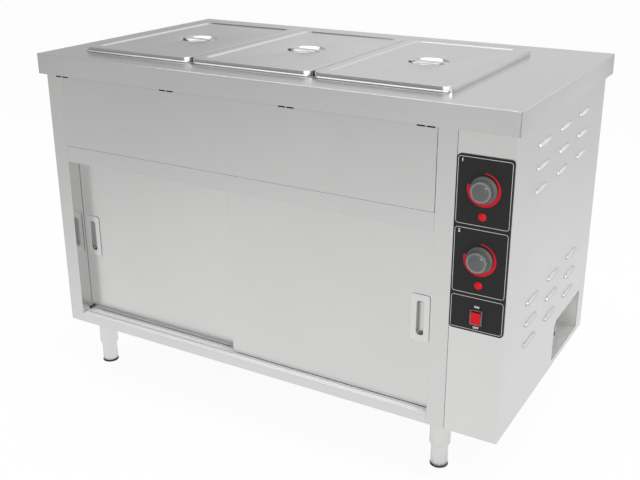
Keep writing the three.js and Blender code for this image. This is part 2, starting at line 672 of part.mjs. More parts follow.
// Louvred side panel: each louvre is lanced along its lower edge and pressed out as a hood
function louvrePair(y, z) {
  const hood = (by, behind, below) => {
    const radius = louvre.height + by;
    const straight = louvre.length - 2 * louvre.height;
    const capsule = new THREE.CapsuleGeometry(radius, straight, facets.hoodCap, facets.hood);
    capsule.scale((louvre.rise + by) / radius, 1, 1);
    const keep = block([bodyRight - behind, bodyRight + louvre.rise + overcut],
      [y - louvre.length, y + louvre.length], [z - below, z + 2 * louvre.height]);
    return solid(capsule.translate(bodyRight, y, z)).intersect(keep);
  };
  return { outside: hood(0, sheet / 2, 0), inside: hood(-louvre.sheet, sheet + overcut, louvre.slit) };
}

function louvredPanelShape() {
  const pairs = [];
  for (const drop of [louvreField.topDrop, louvreField.lowDrop]) {
    for (let column = 0; column < louvreField.columns; column += 1) {
      for (let row = 0; row < louvreField.rows; row += 1) {
        const y = bodyFront + louvreField.fromFront + louvre.length / 2 + column * louvre.pitchY;
        pairs.push(louvrePair(y, topZ - drop - row * louvre.pitchZ - louvre.height / 2));
      }
    }
  }
  const panel = block([bodyRight - sheet, bodyRight], sideY, fullZ);
  const mouth = push(recessOutline(0), 'x', [bodyRight - sheet - overcut, bodyRight + overcut]);
  return cut(add(panel, pairs.map((pair) => pair.outside)), pairs.map((pair) => pair.inside), mouth);
}
piece('side_panel_louvred', louvredPanelShape(), brushed);

// Control box front and the black control plate
const plateX = [boxLeft + plate.side, bodyRight - plate.side];
const plateTop = topZ - plate.topDrop;
const controlX = (plateX[0] + plateX[1]) / 2;
const knobZ = [0, 1].map((i) => plateTop - controls.knobDrop - i * controls.knobPitch);
const lampZ = knobZ.map((z) => z - controls.lampDrop);
const switchZ = plateTop - controls.switchDrop;
const plateFront = bodyFront - seat - plate.thickness;

const throughFront = [plateFront - overcut, bodyFront + sheet + overcut];
const controlHoles = [
  ...knobZ.map((z) => bore(thermostat.bushRadius, throughFront, 'y', [controlX, 0, z])),
  ...lampZ.map((z) => bore(lamp.stem, throughFront, 'y', [controlX, 0, z])),
  block([controlX - switchBody.width / 2 - seat, controlX + switchBody.width / 2 + seat],
    throughFront, [switchZ - switchBody.height / 2 - seat, switchZ + switchBody.height / 2 + seat])];

// The box casing is one folded sheet: its face, a return beside the stile and the box floor
function boxCasingShape() {
  const left = boxLeft + box.seam;
  const whole = block([left, bodyRight], [bodyFront, insideBack], fullZ);
  const hollow = block([left + sheet, bodyRight + overcut], [bodyFront + sheet, insideBack + overcut],
    [bodyBottom + sheet, underTop + overcut]);
  const behindFold = block([left - overcut, left + 2 * sheet],
    [bodyFront + box.returnDepth, insideBack + overcut], [bodyBottom + sheet, underTop + overcut]);
  const besidePanel = block([insideRight, bodyRight + overcut], [insideFront - seat, insideBack + overcut],
    [bodyBottom - overcut, underTop + overcut]);
  return cut(whole, hollow, behindFold, besidePanel, controlHoles);
}
piece('box_casing', boxCasingShape(), brushed);

function plateShape() {
  const outline = roundRectangle(plateX, [plateTop - plate.height, plateTop], plate.radius);
  return cut(push(outline, 'y', [plateFront, bodyFront - seat]), controlHoles);
}
piece('control_plate', plateShape(), darkPlate);

// Thermostats, their knobs and the indicator lamps
const knobBack = plateFront - knobFit.gap;

function thermostatShape() {
  const behind = bodyFront + sheet + seat;
  const housing = block([-thermostat.width / 2, thermostat.width / 2], [behind, behind + thermostat.depth],
    [-thermostat.height / 2, thermostat.height / 2]);
  const bush = rod(thermostat.bushRadius, [plateFront, behind + seat], 'y');
  const socket = bore(knobFit.shaftRadius, [plateFront - overcut, plateFront + knobFit.shaftLength], 'y');
  return cut(add(housing, bush), socket);
}

// A round skirt and a fluted cap, with the shaft behind; the knob stands out along -Y
function knobShape() {
  const face = -knob.height;
  const neck = -knob.skirtHeight - knobFit.edge;
  const turned = turn([[0, 0], [knob.skirt, 0], [knob.skirt, -knob.skirtHeight / 2],
    [knob.shoulder, -knob.skirtHeight], [knob.cap, neck], [knob.cap, face + knobFit.edge],
    [knob.cap - knobFit.edge, face], [0, face]], 'y', [0, 0, 0], facets.knob);
  const flutes = Array.from({ length: knob.flutes }, (_, i) => {
    const angle = (2 * Math.PI * i) / knob.flutes;
    return rod(knob.flute, [face - overcut, neck - knobFit.edge], 'y',
      [knob.cap * Math.cos(angle), 0, knob.cap * Math.sin(angle)], facets.flute);
  });
  const shaft = rod(knobFit.shaftRadius, [-knobFit.edge, knobFit.shaftLength - knobFit.gap - seat], 'y');
  return add(cut(turned, flutes), shaft);
}

// A domed lens on a stem that passes through the plate
function lampShape() {
  const dome = Array.from({ length: facets.bend + 1 }, (_, k) => {
    const angle = (k * Math.PI) / (2 * facets.bend);
    return [lamp.radius * Math.sin(angle), -lamp.rise * Math.cos(angle)];
  });
  return turn([...dome, [lamp.stem, 0], [lamp.stem, lamp.stemLength], [0, lamp.stemLength]], 'y');
}

['top', 'bottom'].forEach((zone, i) => {
  piece(`thermostat_${zone}`, thermostatShape(), galvanised, [controlX, 0, knobZ[i]]);
  piece(`knob_${zone}`, knobShape(), darkPlastic, [controlX, knobBack, knobZ[i]]);
  piece(`lamp_${zone}`, lampShape(), redPlastic, [controlX, plateFront - seat, lampZ[i]]);
});

// Rocker switch: a housing through the plate with a rocker on two pins
const rockerY = plateFront - seat - rockerSwitch.bezel + rocker.valley;

function switchHousingShape() {
  const front = plateFront - seat;
  const bezel = push(roundRectangle([-rockerSwitch.width / 2, rockerSwitch.width / 2],
    [-rockerSwitch.height / 2, rockerSwitch.height / 2], rockerSwitch.radius), 'y',
  [front - rockerSwitch.bezel, front]);
  const housing = block([-switchBody.width / 2, switchBody.width / 2],
    [front - seat, front + switchBody.depth],
    [-switchBody.height / 2, switchBody.height / 2]);
  const cavity = block([-rockerFit.cavityWidth / 2, rockerFit.cavityWidth / 2],
    [front - rockerSwitch.bezel - overcut, front - rockerSwitch.bezel + rockerFit.cavity],
    [-rockerFit.cavityHeight / 2, rockerFit.cavityHeight / 2]);
  const pinHalf = rockerFit.cavityWidth / 2 + rockerFit.pinLength;
  const sockets = bore(rockerFit.pin, [-pinHalf, pinHalf], 'x', [0, rockerY, 0]);
  return cut(add(bezel, housing), cavity, sockets);
}
piece('switch_housing', switchHousingShape(), darkPlastic, [controlX, 0, switchZ]);

function rockerShape() {
  const tipHalf = rocker.height / 2;
  const outline = points([[-rocker.valley, 0], [-rocker.tip, tipHalf], [-rockerSide.depth, rockerSide.half],
    [rocker.root, rocker.rootHalf], [rocker.root, -rocker.rootHalf], [-rockerSide.depth, -rockerSide.half],
    [-rocker.tip, -tipHalf]]);
  const paddle = push(outline, 'x', [-rocker.width / 2, rocker.width / 2]);
  const pinHalf = rockerFit.cavityWidth / 2 + rockerFit.pinLength - seat;
  return add(paddle, rod(rockerFit.pin, [-pinHalf, pinHalf], 'x'));
}
const rockerMesh = piece('switch_rocker', rockerShape(), redPlastic, [controlX, rockerY, switchZ]);
rockerMesh.rotation.x = THREE.MathUtils.degToRad(rockerFit.half);

// Cable gland in the back of the control box
function glandShape() {
  const outside = seat + gland.nutLength;
  return turn([
    [gland.bore, -gland.length / 2], [gland.radius, -gland.length / 2], [gland.radius, seat],
    [gland.nut, seat], [gland.nut, outside], [gland.radius, outside + gland.nutLength],
    [gland.bore, outside + gland.nutLength], [gland.bore, -gland.length / 2]], 'y');
}
piece('cable_gland', glandShape(), darkPlastic, [glandPlace[0], bodyBack, glandPlace[2]]);

// Sliding doors: hollow double-skinned panels hung from two rollers each
const doorWidth = (doorwayRight - doorwayLeft + door.overlap) / 2 - door.sideGap;
const doorHeight = doorTop - doorBottom;
const cupZ = doorwayTop - cupPlace.belowDoorwayTop - doorBottom;

function doorShape(cupX) {
  const deep = [0, door.thickness];
  const outer = block([0, doorWidth], deep, [0, doorHeight]);
  const hollow = block([door.skin, doorWidth - door.skin], [door.skin, door.thickness - door.skin],
    [door.skin, doorHeight - door.skin]);
  const way = block([cupX - cup.slot / 2 - cup.wall - seat, cupX + cup.slot / 2 + cup.wall + seat],
    [-overcut, 2 * door.skin],
    [cupZ - cup.slotHeight / 2 - cup.wall - seat, cupZ + cup.slotHeight / 2 + cup.wall + seat]);
  const middle = door.thickness / 2;
  const tabs = [hanger.inset, doorWidth - hanger.inset].map((x) => cut(
    block([x - hanger.width / 2, x + hanger.width / 2],
      [middle - hanger.thickness / 2, middle + hanger.thickness / 2],
      [doorHeight - door.skin / 2, rollerZ - doorBottom + hanger.above]),
    bore(roller.axleRadius, [0, door.thickness], 'y', [x, 0, rollerZ - doorBottom])));
  const tongues = [hanger.inset, doorWidth - hanger.inset].map((x) => block(
    [x - guide.length / 2, x + guide.length / 2],
    [middle - guide.thickness / 2, middle + guide.thickness / 2],
    [guide.clear - door.rise, door.skin / 2]));
  return add(cut(outer, hollow, way), tabs, tongues);
}

// Recessed finger cup: a flange on the door skin and a closed slot behind it
function cupShape() {
  const flange = push(roundRectangle([-cup.width / 2, cup.width / 2], [-cup.height / 2, cup.height / 2],
    cup.radius), 'y', [-seat - cup.plate, -seat]);
  const slot = (by, deep) => push(roundRectangle([-cup.slot / 2 - by, cup.slot / 2 + by],
    [-cup.slotHeight / 2 - by, cup.slotHeight / 2 + by], cup.slotRadius + by), 'y', deep);
  return cut(add(flange, slot(cup.wall, [-seat - cup.plate / 2, cup.depth])),
    slot(0, [-seat - cup.plate - overcut, cup.depth - cup.wall]));
}

function rollerShape() {
  const inner = hanger.thickness / 2 + roller.sideGap;
  const wheel = (from, to) => rod(roller.radius, [from, to], 'y', [0, 0, 0], facets.round);
  return add(wheel(-inner - roller.width, -inner), wheel(inner, inner + roller.width),
    rod(roller.axleRadius, [-inner - roller.width / 2, inner + roller.width / 2], 'y'));
}

function hangDoor(side, run, left, cupX) {
  const hung = groupAt([left, runLines[run] - door.thickness / 2, doorBottom]);
  piece(`door_${side}`, doorShape(cupX), brushed, [0, 0, 0], hung);
  piece(`door_${side}_cup`, cupShape(), bright, [cupX, 0, cupZ], hung);
  ['a', 'b'].forEach((end, i) => {
    const x = i === 0 ? hanger.inset : doorWidth - hanger.inset;
    const place = [x, door.thickness / 2, rollerZ - doorBottom];
    piece(`door_${side}_roller_${end}`, rollerShape(), nylon, place, hung);
  });
}
hangDoor('left', 1, doorwayLeft + door.sideGap, cupPlace.fromEdge);
hangDoor('right', 0, doorwayRight - door.sideGap - doorWidth, doorWidth - cupPlace.fromEdge);

// Legs: a sleeve under the cabinet floor and a screw foot inside it
const legTop = doorwayBottom - sheet - seat;

function sleeveShape() {
  const inner = leg.footRadius + seat;
  const plugTop = foot.bodyTop + seat + foot.plug;
  return turn([
    [inner, leg.step], [leg.radius - leg.chamfer / 2, leg.step], [leg.radius, leg.step + leg.chamfer],
    [leg.radius, legTop - leg.flange], [leg.flangeRadius, legTop - leg.flange], [leg.flangeRadius, legTop],
    [inner, legTop], [inner, plugTop], [foot.stemRadius + seat, plugTop],
    [foot.stemRadius + seat, foot.bodyTop + seat], [inner, foot.bodyTop + seat], [inner, leg.step]],
  'z', [0, 0, 0], facets.foot);
}

function footShape() {
  const r = leg.footRadius;
  return turn([
    [0, 0], [r - foot.edge, 0], [r, foot.edge], [r, foot.bodyTop], [foot.stemRadius, foot.bodyTop],
    [foot.stemRadius, foot.stemTop], [0, foot.stemTop]], 'z', [0, 0, 0], facets.foot);
}

const legX = { left: bodyLeft + leg.fromSide, right: boxLeft - leg.fromSide };
const legY = { front: bodyFront + legPlace.fromFront, back: bodyBack - legPlace.fromBack };
for (const row of ['front', 'back']) {
  for (const side of ['left', 'right']) {
    const corner = groupAt([legX[side], legY[row], 0]);
    piece(`leg_${row}_${side}`, sleeveShape(), brushed, [0, 0, 0], corner);
    piece(`foot_${row}_${side}`, footShape(), bright, [0, 0, 0], corner);
  }
}

// Pans: a rim that rests on the worktop and bars, and a tapered bowl with round corners
const panRim = seat + pan.wall;

function panShape() {
  const level = (inset, z) => ring(pan.width - 2 * inset, pan.length - 2 * inset,
    panCorner.bowl + pan.flange - inset, z);
  const bowl = (by, low, high) => loft([
    level(pan.flange + pan.taper + by, low), level(pan.flange + by, high)]);
  const rim = push(roundRectangle([-pan.width / 2, pan.width / 2], [-pan.length / 2, pan.length / 2],
    panCorner.flange), 'z', [seat, panRim]);
  const inner = bowl(pan.wall, -pan.depth + pan.wall, panRim);
  const mouth = loft([level(pan.flange + pan.wall, 0), level(pan.flange + pan.wall, panRim + overcut)]);
  return cut(add(rim, bowl(0, -pan.depth, seat + pan.wall / 2)), inner, mouth);
}

// Lids: a shallow cover with a lowered panel and a round finger recess
const lidBottom = panRim + seat;

function frustum(size, z) {
  return loft([0, 1].map((i) => ring(pan.width - 2 * size.inset[i], pan.length - 2 * size.inset[i],
    size.radius[i], z[i])));
}

function lidShape() {
  const t = lid.sheet;
  const top = lid.rise;
  const floor = top - lid.panelDrop;
  const radius = panCorner.flange;
  const outer = frustum({ inset: [0, t], radius: [radius, radius - t] }, [lidBottom, top]);
  const under = frustum({ inset: [t, 2 * t], radius: [radius - t, radius - 2 * t] },
    [lidBottom - overcut, top - t]);
  const insets = [lid.panelInset, lid.slopeInset];
  const pocket = frustum({ inset: insets, radius: [radius, radius] }, [floor, top]);
  const pocketWall = frustum({ inset: insets.map((d) => d - t), radius: [radius + t, radius + t] },
    [floor - t, top]);
  const cupCone = (by, low, high) => turn([[0, low], [lidCup.radius - lidCup.slope + by, low],
    [lidCup.radius + by, high], [0, high]]);
  const cupHollow = cupCone(0, floor - lidCup.depth, floor + t / 2);
  const cupWall = cupCone(t, floor - lidCup.depth - t, floor - t / 2);
  return cut(add(cut(outer, cut(under, pocketWall, cupWall)), cupWall), pocket, cupHollow);
}

// Lid handle: a flat bar bridging the finger recess
function lidBarShape() {
  const low = lid.rise - lid.panelDrop + seat;
  const half = lidCup.radius + lidBar.lap;
  const stations = [[half, 0], [half - lidBar.foot, 0], [half - lidBar.foot - lidBar.ramp, lidBar.rise]];
  const leftHalf = stations.map(([x, up]) => [-x, low + up]);
  const under = [...leftHalf, ...stations.reverse().map(([x, up]) => [x, low + up])];
  const over = under.map(([x, z]) => [x, z + lidBar.sheet]).reverse();
  return push(points([...under, ...over]), 'y', [-lidBar.width / 2, lidBar.width / 2]);
}

panX.forEach((x, i) => {
  const well = groupAt([x, wellMiddle, topZ]);
  piece(`pan_${i + 1}`, panShape(), brushed, [0, 0, 0], well);
  piece(`lid_${i + 1}`, lidShape(), brushed, [0, 0, 0], well);
  piece(`lid_handle_${i + 1}`, lidBarShape(), bright, [0, 0, 0], well);
});

export default counter;
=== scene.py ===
import math

import bmesh
import bpy
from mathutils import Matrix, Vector


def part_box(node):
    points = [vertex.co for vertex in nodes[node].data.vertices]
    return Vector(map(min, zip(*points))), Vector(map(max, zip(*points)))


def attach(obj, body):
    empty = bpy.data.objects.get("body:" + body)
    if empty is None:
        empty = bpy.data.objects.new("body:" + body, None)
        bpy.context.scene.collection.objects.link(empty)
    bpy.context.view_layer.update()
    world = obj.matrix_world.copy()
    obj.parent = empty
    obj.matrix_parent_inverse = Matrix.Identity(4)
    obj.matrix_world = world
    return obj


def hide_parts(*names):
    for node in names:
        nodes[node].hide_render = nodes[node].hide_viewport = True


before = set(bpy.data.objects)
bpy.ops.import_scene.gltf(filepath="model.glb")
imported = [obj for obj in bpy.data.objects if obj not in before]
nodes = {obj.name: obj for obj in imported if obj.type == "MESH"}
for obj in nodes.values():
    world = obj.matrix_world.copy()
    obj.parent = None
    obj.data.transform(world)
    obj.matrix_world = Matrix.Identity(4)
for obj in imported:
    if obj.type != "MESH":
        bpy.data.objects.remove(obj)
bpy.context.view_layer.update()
MM = 0.001


# Building blocks of node trees
def connect(tree, socket, value):
    """Link a socket to another one, or give it a constant value."""
    if isinstance(value, bpy.types.NodeSocket):
        tree.links.new(value, socket)
    else:
        socket.default_value = value


def put(tree, kind, wires=(), **settings):
    """A node with its settings; wires are (input, socket or value)."""
    node = tree.nodes.new(kind)
    for key, value in settings.items():
        setattr(node, key, value)
    for key, value in wires:
        connect(tree, node.inputs[key], value)
    return node


def maths(tree, operation, first, second=0.0, clamp=False):
    node = put(tree, "ShaderNodeMath", [(0, first), (1, second)], operation=operation, use_clamp=clamp)
    return node.outputs[0]


def times(tree, first, second):
    return maths(tree, "MULTIPLY", first, second)


def remap(tree, value, low, high, to_low, to_high):
    """A level that runs from to_low to to_high while the value runs from low to high, held beyond them."""
    node = put(tree, "ShaderNodeMapRange", [
        ("Value", value), ("From Min", low), ("From Max", high), ("To Min", to_low), ("To Max", to_high)])
    return node.outputs[0]


def mix(tree, kind, amount, first, second, **settings):
    """A blend of two values of one kind: VALUE, VECTOR or RGBA."""
    node = put(tree, "ShaderNodeMix", data_type="FLOAT" if kind == "VALUE" else kind, **settings)
    start, end = [s for s in node.inputs if s.type == kind and s.name in ("A", "B")]
    for socket, value in ((node.inputs[0], amount), (start, first), (end, second)):
        connect(tree, socket, value)
    return [s for s in node.outputs if s.type == kind][0]


def noise(tree, place, scale, detail, roughness=0.5):
    node = put(tree, "ShaderNodeTexNoise", [
        ("Vector", place), ("Scale", scale), ("Detail", detail), ("Roughness", roughness)])
    return node.outputs["Fac"]


def object_place(tree):
    return put(tree, "ShaderNodeTexCoord").outputs["Object"]


def face_normal(tree):
    return put(tree, "ShaderNodeNewGeometry").outputs["Normal"]


def axes_of(tree, vector):
    return put(tree, "ShaderNodeSeparateXYZ", [(0, vector)]).outputs


# Shared effects
def new_group(name, inputs, outputs):
    """A shader node group with named sockets, and its two end nodes."""
    group = bpy.data.node_groups.new(name, "ShaderNodeTree")
    for label, kind, value in inputs:
        socket = group.interface.new_socket(label, in_out="INPUT", socket_type=kind)
        if value is not None:
            socket.default_value = value
    for label, kind in outputs:
        group.interface.new_socket(label, in_out="OUTPUT", socket_type=kind)
    return group, group.nodes.new("NodeGroupInput"), group.nodes.new("NodeGroupOutput")


def make_grain():
    """Fine parallel scratches of a brushed sheet, drawn out along the axis with the smallest stretch."""
    fine_scale, broad_scale, fine_share = 2600.0, 800.0, 0.7
    group, start, end = new_group("brushed_grain", [
        ("Place", "NodeSocketVector", None), ("Stretch", "NodeSocketVector", (1.0, 1.0, 1.0))],
        [("Streak", "NodeSocketFloat"), ("Height", "NodeSocketFloat")])
    drawn = put(group, "ShaderNodeVectorMath", [(0, start.outputs["Place"]), (1, start.outputs["Stretch"])],
                operation="MULTIPLY").outputs[0]
    fine = noise(group, drawn, fine_scale, 3.0, 0.6)
    broad = noise(group, drawn, broad_scale, 2.0)
    streak = maths(group, "ADD", times(group, fine, fine_share), times(group, broad, 1 - fine_share))
    group.links.new(streak, end.inputs["Streak"])
    group.links.new(fine, end.inputs["Height"])
    return group


def make_marks():
    """Broad uneven polish and faint wiping marks."""
    finer, wide_share = 9.0, 0.75
    group, start, end = new_group("handling_marks", [
        ("Place", "NodeSocketVector", None), ("Scale", "NodeSocketFloat", 1.0)],
        [("Mark", "NodeSocketFloat")])
    place, scale = start.outputs["Place"], start.outputs["Scale"]
    wide = noise(group, place, scale, 3.0, 0.55)
    close = noise(group, place, times(group, scale, finer), 4.0, 0.6)
    both = maths(group, "ADD", times(group, wide, wide_share), times(group, close, 1 - wide_share))
    group.links.new(remap(group, both, 0.35, 0.65, 0.0, 1.0), end.inputs["Mark"])
    return group


def make_edge_wear_and_highlight():
    """A mask for edges, painted brighter as a painted highlight and made smoother as rubbed wear, and a
    normal that rounds them.
    """
    flat_above, full_below, patch_scale = 0.995, 0.86, 60.0
    group, start, end = new_group("edge_wear_and_painted_highlight", [
        ("Width", "NodeSocketFloat", 0.001), ("Breakup", "NodeSocketFloat", 0.5)],
        [("Edge", "NodeSocketFloat"), ("Round", "NodeSocketVector")])
    soft = put(group, "ShaderNodeBevel", [("Radius", start.outputs["Width"])], samples=4).outputs[0]
    same = put(group, "ShaderNodeVectorMath", [(0, soft), (1, face_normal(group))], operation="DOT_PRODUCT")
    edge = remap(group, same.outputs["Value"], flat_above, full_below, 0.0, 1.0)
    patches = times(group, start.outputs["Breakup"], noise(group, object_place(group), patch_scale, 2.0))
    group.links.new(times(group, edge, maths(group, "SUBTRACT", 1.0, patches)), end.inputs["Edge"])
    group.links.new(soft, end.inputs["Round"])
    return group


def make_shade():
    """How bright a place stays beside what stands close to it."""
    group, start, end = new_group("crevice_shade", [
        ("Reach", "NodeSocketFloat", 0.03), ("Depth", "NodeSocketFloat", 0.5)],
        [("Shade", "NodeSocketFloat")])
    near = put(group, "ShaderNodeAmbientOcclusion", [("Distance", start.outputs["Reach"])], samples=6)
    closed = maths(group, "SUBTRACT", 1.0, near.outputs["AO"])
    shade = maths(group, "SUBTRACT", 1.0, times(group, closed, start.outputs["Depth"]), clamp=True)
    group.links.new(shade, end.inputs["Shade"])
    return group


def make_wave():
    """The faint waviness of a large thin sheet."""
    group, start, end = new_group("sheet_wave", [
        ("Place", "NodeSocketVector", None), ("Scale", "NodeSocketFloat", 3.0)],
        [("Height", "NodeSocketFloat")])
    height = noise(group, start.outputs["Place"], start.outputs["Scale"], 1.0, 0.4)
    group.links.new(height, end.inputs["Height"])
    return group


GRAIN = make_grain()
MARKS = make_marks()
EDGE_WEAR_AND_HIGHLIGHT = make_edge_wear_and_highlight()
SHADE = make_shade()
WAVE = make_wave()


def use(tree, group, wires):
    """A shared effect as a node."""
    return put(tree, "ShaderNodeGroup", wires, node_tree=group)


# Materials
def grey(level, warm=0.0):
    return (level * (1 + warm), level, level * (1 - warm), 1.0)


def new_material(name):
    """A material with a principled shader only, its node tree and that shader."""
    material = bpy.data.materials.new(name)
    material.use_nodes = True
    tree = material.node_tree
    tree.nodes.clear()
    shader = put(tree, "ShaderNodeBsdfPrincipled")
    put(tree, "ShaderNodeOutputMaterial", [("Surface", shader.outputs[0])])
    return material, tree, shader


def shaded(tree, colour, reach, depth):
    """A colour darkened in corners that are nearer than reach."""
    shade = use(tree, SHADE, [("Reach", reach), ("Depth", depth)]).outputs[0]
    tint = put(tree, "ShaderNodeCombineColor", [(part, shade) for part in ("Red", "Green", "Blue")])
    return mix(tree, "RGBA", 1.0, colour, tint.outputs[0], blend_type="MULTIPLY")


def polished(tree, mark, rough, spread):
    """A roughness that the marks move from one end of its spread to the other."""
    return remap(tree, mark, 0.0, 1.0, rough + spread[0], rough + spread[1])


WARMTH = 0.006          # how far steel leans to yellow
MARK_SCALE = 2.4        # wiping marks per metre of steel
MARK_DARKER = 0.7       # a mark's level against the sheet's
MARK_SHARE = 0.06
# Painted highlight on edges: its level, limit and share; rubbing only makes edges smoother
EDGE_HIGHLIGHT_BRIGHTER = 1.35  # a painted edge highlight's level against the sheet's
EDGE_HIGHLIGHT_LIMIT = 0.92
EDGE_HIGHLIGHT_SHARE = 0.55
RUBBED_SMOOTHER = 0.08
POLISH_RANGE = (-0.025, 0.035)  # from unmarked to marked steel, added to its roughness
GRAIN_ROUGHNESS = 0.015
GRAIN_BUMP = 0.035
GRAIN_HEIGHT = 0.2 * MM
WAVE_SCALE = 3.2
WAVE_HEIGHT = 4 * MM
# Painted top light: how metallic the faces that look up stay
TOP_LIGHT_METALLIC = 0.15
CAST_MARK_SCALE = 14.0
CAST_POLISH_RANGE = (-0.04, 0.05)
# Painted highlight on the edges of cast pieces
CAST_EDGE_HIGHLIGHT_SHARE = 0.5
CAST_EDGE_HIGHLIGHT_LIFT = 0.02
PORE_HEIGHT = 0.2 * MM


def steel(name, level, rough, stretch, reach, depth, streak=0.03, wave=0.0, edge=0.0012, painted_top_light=0.0,
          top_edges=False, painted_bend_shade=0.0):
    """Stainless sheet: brushed along one axis, with a painted highlight on its edges, which are also rubbed
    smoother, and painted shade in its corners.
    Painted top light is the level of faces that look up, painted paler and made less metallic as a painted
    highlight on them.
    With top_edges only the edges that look up are rounded and take the painted highlight; the folded corners
    between them stay sharp.
    Painted bend shade is the level of upright bends, painted darker as painted shade where they would mirror
    bright light."""
    material, tree, shader = new_material(name)
    place = object_place(tree)
    grain = use(tree, GRAIN, [("Place", place), ("Stretch", stretch)])
    mark = use(tree, MARKS, [("Place", place), ("Scale", MARK_SCALE)]).outputs["Mark"]
    worn_lit_edges = use(tree, EDGE_WEAR_AND_HIGHLIGHT, [("Width", edge), ("Breakup", 0.4)])
    soft, edge_lit_and_worn = worn_lit_edges.outputs["Round"], worn_lit_edges.outputs["Edge"]
    if top_edges:
        upward = remap(tree, axes_of(tree, soft)["Z"], 0.02, 0.12, 0.0, 1.0)
        soft = mix(tree, "VECTOR", upward, face_normal(tree), soft)
        edge_lit_and_worn = times(tree, edge_lit_and_worn, upward)

    colour = mix(tree, "RGBA", grain.outputs["Streak"], grey(level * (1 - streak), WARMTH),
                 grey(level * (1 + streak), WARMTH))
    # Painted highlight: edges are painted brighter than the sheet
    colour = mix(tree, "RGBA", times(tree, edge_lit_and_worn, EDGE_HIGHLIGHT_SHARE), colour,
                 grey(min(level * EDGE_HIGHLIGHT_BRIGHTER, EDGE_HIGHLIGHT_LIMIT)))
    colour = mix(tree, "RGBA", times(tree, mark, MARK_SHARE), colour, grey(level * MARK_DARKER, WARMTH))
    shader.inputs["Metallic"].default_value = 1.0
    # Painted highlight: faces that look up are painted paler and made less metallic
    if painted_top_light:
        top_light_mask = remap(tree, axes_of(tree, face_normal(tree))["Z"], 0.4, 0.6, 0.0, 1.0)
        colour = mix(tree, "RGBA", top_light_mask, colour, grey(painted_top_light))
        tree.links.new(remap(tree, top_light_mask, 0.0, 1.0, 1.0, TOP_LIGHT_METALLIC), shader.inputs["Metallic"])
    # Painted shade: upright bends are painted darker where they would mirror a bright line
    if painted_bend_shade:
        facing = axes_of(tree, face_normal(tree))
        turned = maths(tree, "ABSOLUTE", times(tree, facing["X"], facing["Y"]))
        colour = mix(tree, "RGBA", remap(tree, turned, 0.08, 0.25, 0.0, 1.0), colour, grey(painted_bend_shade))
    tree.links.new(shaded(tree, colour, reach, depth), shader.inputs["Base Color"])

    polish = maths(tree, "ADD", polished(tree, mark, rough, POLISH_RANGE),
                   remap(tree, grain.outputs["Streak"], 0.3, 0.7, -GRAIN_ROUGHNESS, GRAIN_ROUGHNESS))
    tree.links.new(maths(tree, "SUBTRACT", polish, times(tree, edge_lit_and_worn, RUBBED_SMOOTHER), clamp=True),
                   shader.inputs["Roughness"])
    surface = put(tree, "ShaderNodeBump", [
        ("Strength", GRAIN_BUMP), ("Distance", GRAIN_HEIGHT), ("Height", grain.outputs["Height"]),
        ("Normal", soft)])
    if wave:
        sheet = use(tree, WAVE, [("Place", place), ("Scale", WAVE_SCALE)])
        surface = put(tree, "ShaderNodeBump", [
            ("Strength", wave), ("Distance", WAVE_HEIGHT), ("Height", sheet.outputs["Height"]),
            ("Normal", surface.outputs[0])])
    tree.links.new(surface.outputs[0], shader.inputs["Normal"])
    return material


def cast(name, colour, rough, mottled, pores, pore_scale, metal=0.0, edge=0.0006, reach=0.01, depth=0.35,
         gloss=0.5):
    """Moulded, dipped, cast, printed or zinc-coated pieces: a mottled colour with a fine uneven surface."""
    material, tree, shader = new_material(name)
    place = object_place(tree)
    mark = use(tree, MARKS, [("Place", place), ("Scale", CAST_MARK_SCALE)]).outputs["Mark"]
    worn_lit_edges = use(tree, EDGE_WEAR_AND_HIGHLIGHT, [("Width", edge), ("Breakup", 0.6)])
    # The edge colour is a painted highlight, brighter than the mottle; corners get painted shade
    darker, lighter, edge_lit_and_worn = [
        tuple(min(c * factor + lift, 1.0) for c in colour) + (1.0,)
        for factor, lift in ((1 - mottled, 0), (1 + mottled, 0), (EDGE_HIGHLIGHT_BRIGHTER, CAST_EDGE_HIGHLIGHT_LIFT))]
    mottle = mix(tree, "RGBA", mark, darker, lighter)
    with_painted_edges = mix(tree, "RGBA", times(tree, worn_lit_edges.outputs["Edge"], CAST_EDGE_HIGHLIGHT_SHARE), mottle, edge_lit_and_worn)
    tree.links.new(shaded(tree, with_painted_edges, reach, depth), shader.inputs["Base Color"])
    tree.links.new(polished(tree, mark, rough, CAST_POLISH_RANGE), shader.inputs["Roughness"])
    shader.inputs["Metallic"].default_value = metal
    shader.inputs["Specular IOR Level"].default_value = gloss
    bump = put(tree, "ShaderNodeBump", [
        ("Strength", pores), ("Distance", PORE_HEIGHT), ("Height", noise(tree, place, pore_scale, 3.0)),
        ("Normal", worn_lit_edges.outputs["Round"])])
    tree.links.new(bump.outputs[0], shader.inputs["Normal"])
    return material


DRAWN = 0.012           # scratches are this share as dense along the brushing
ALONG_X = (DRAWN, 1.0, 1.0)
ALONG_Y = (1.0, DRAWN, 1.0)
ALONG_Z = (1.0, 1.0, DRAWN)

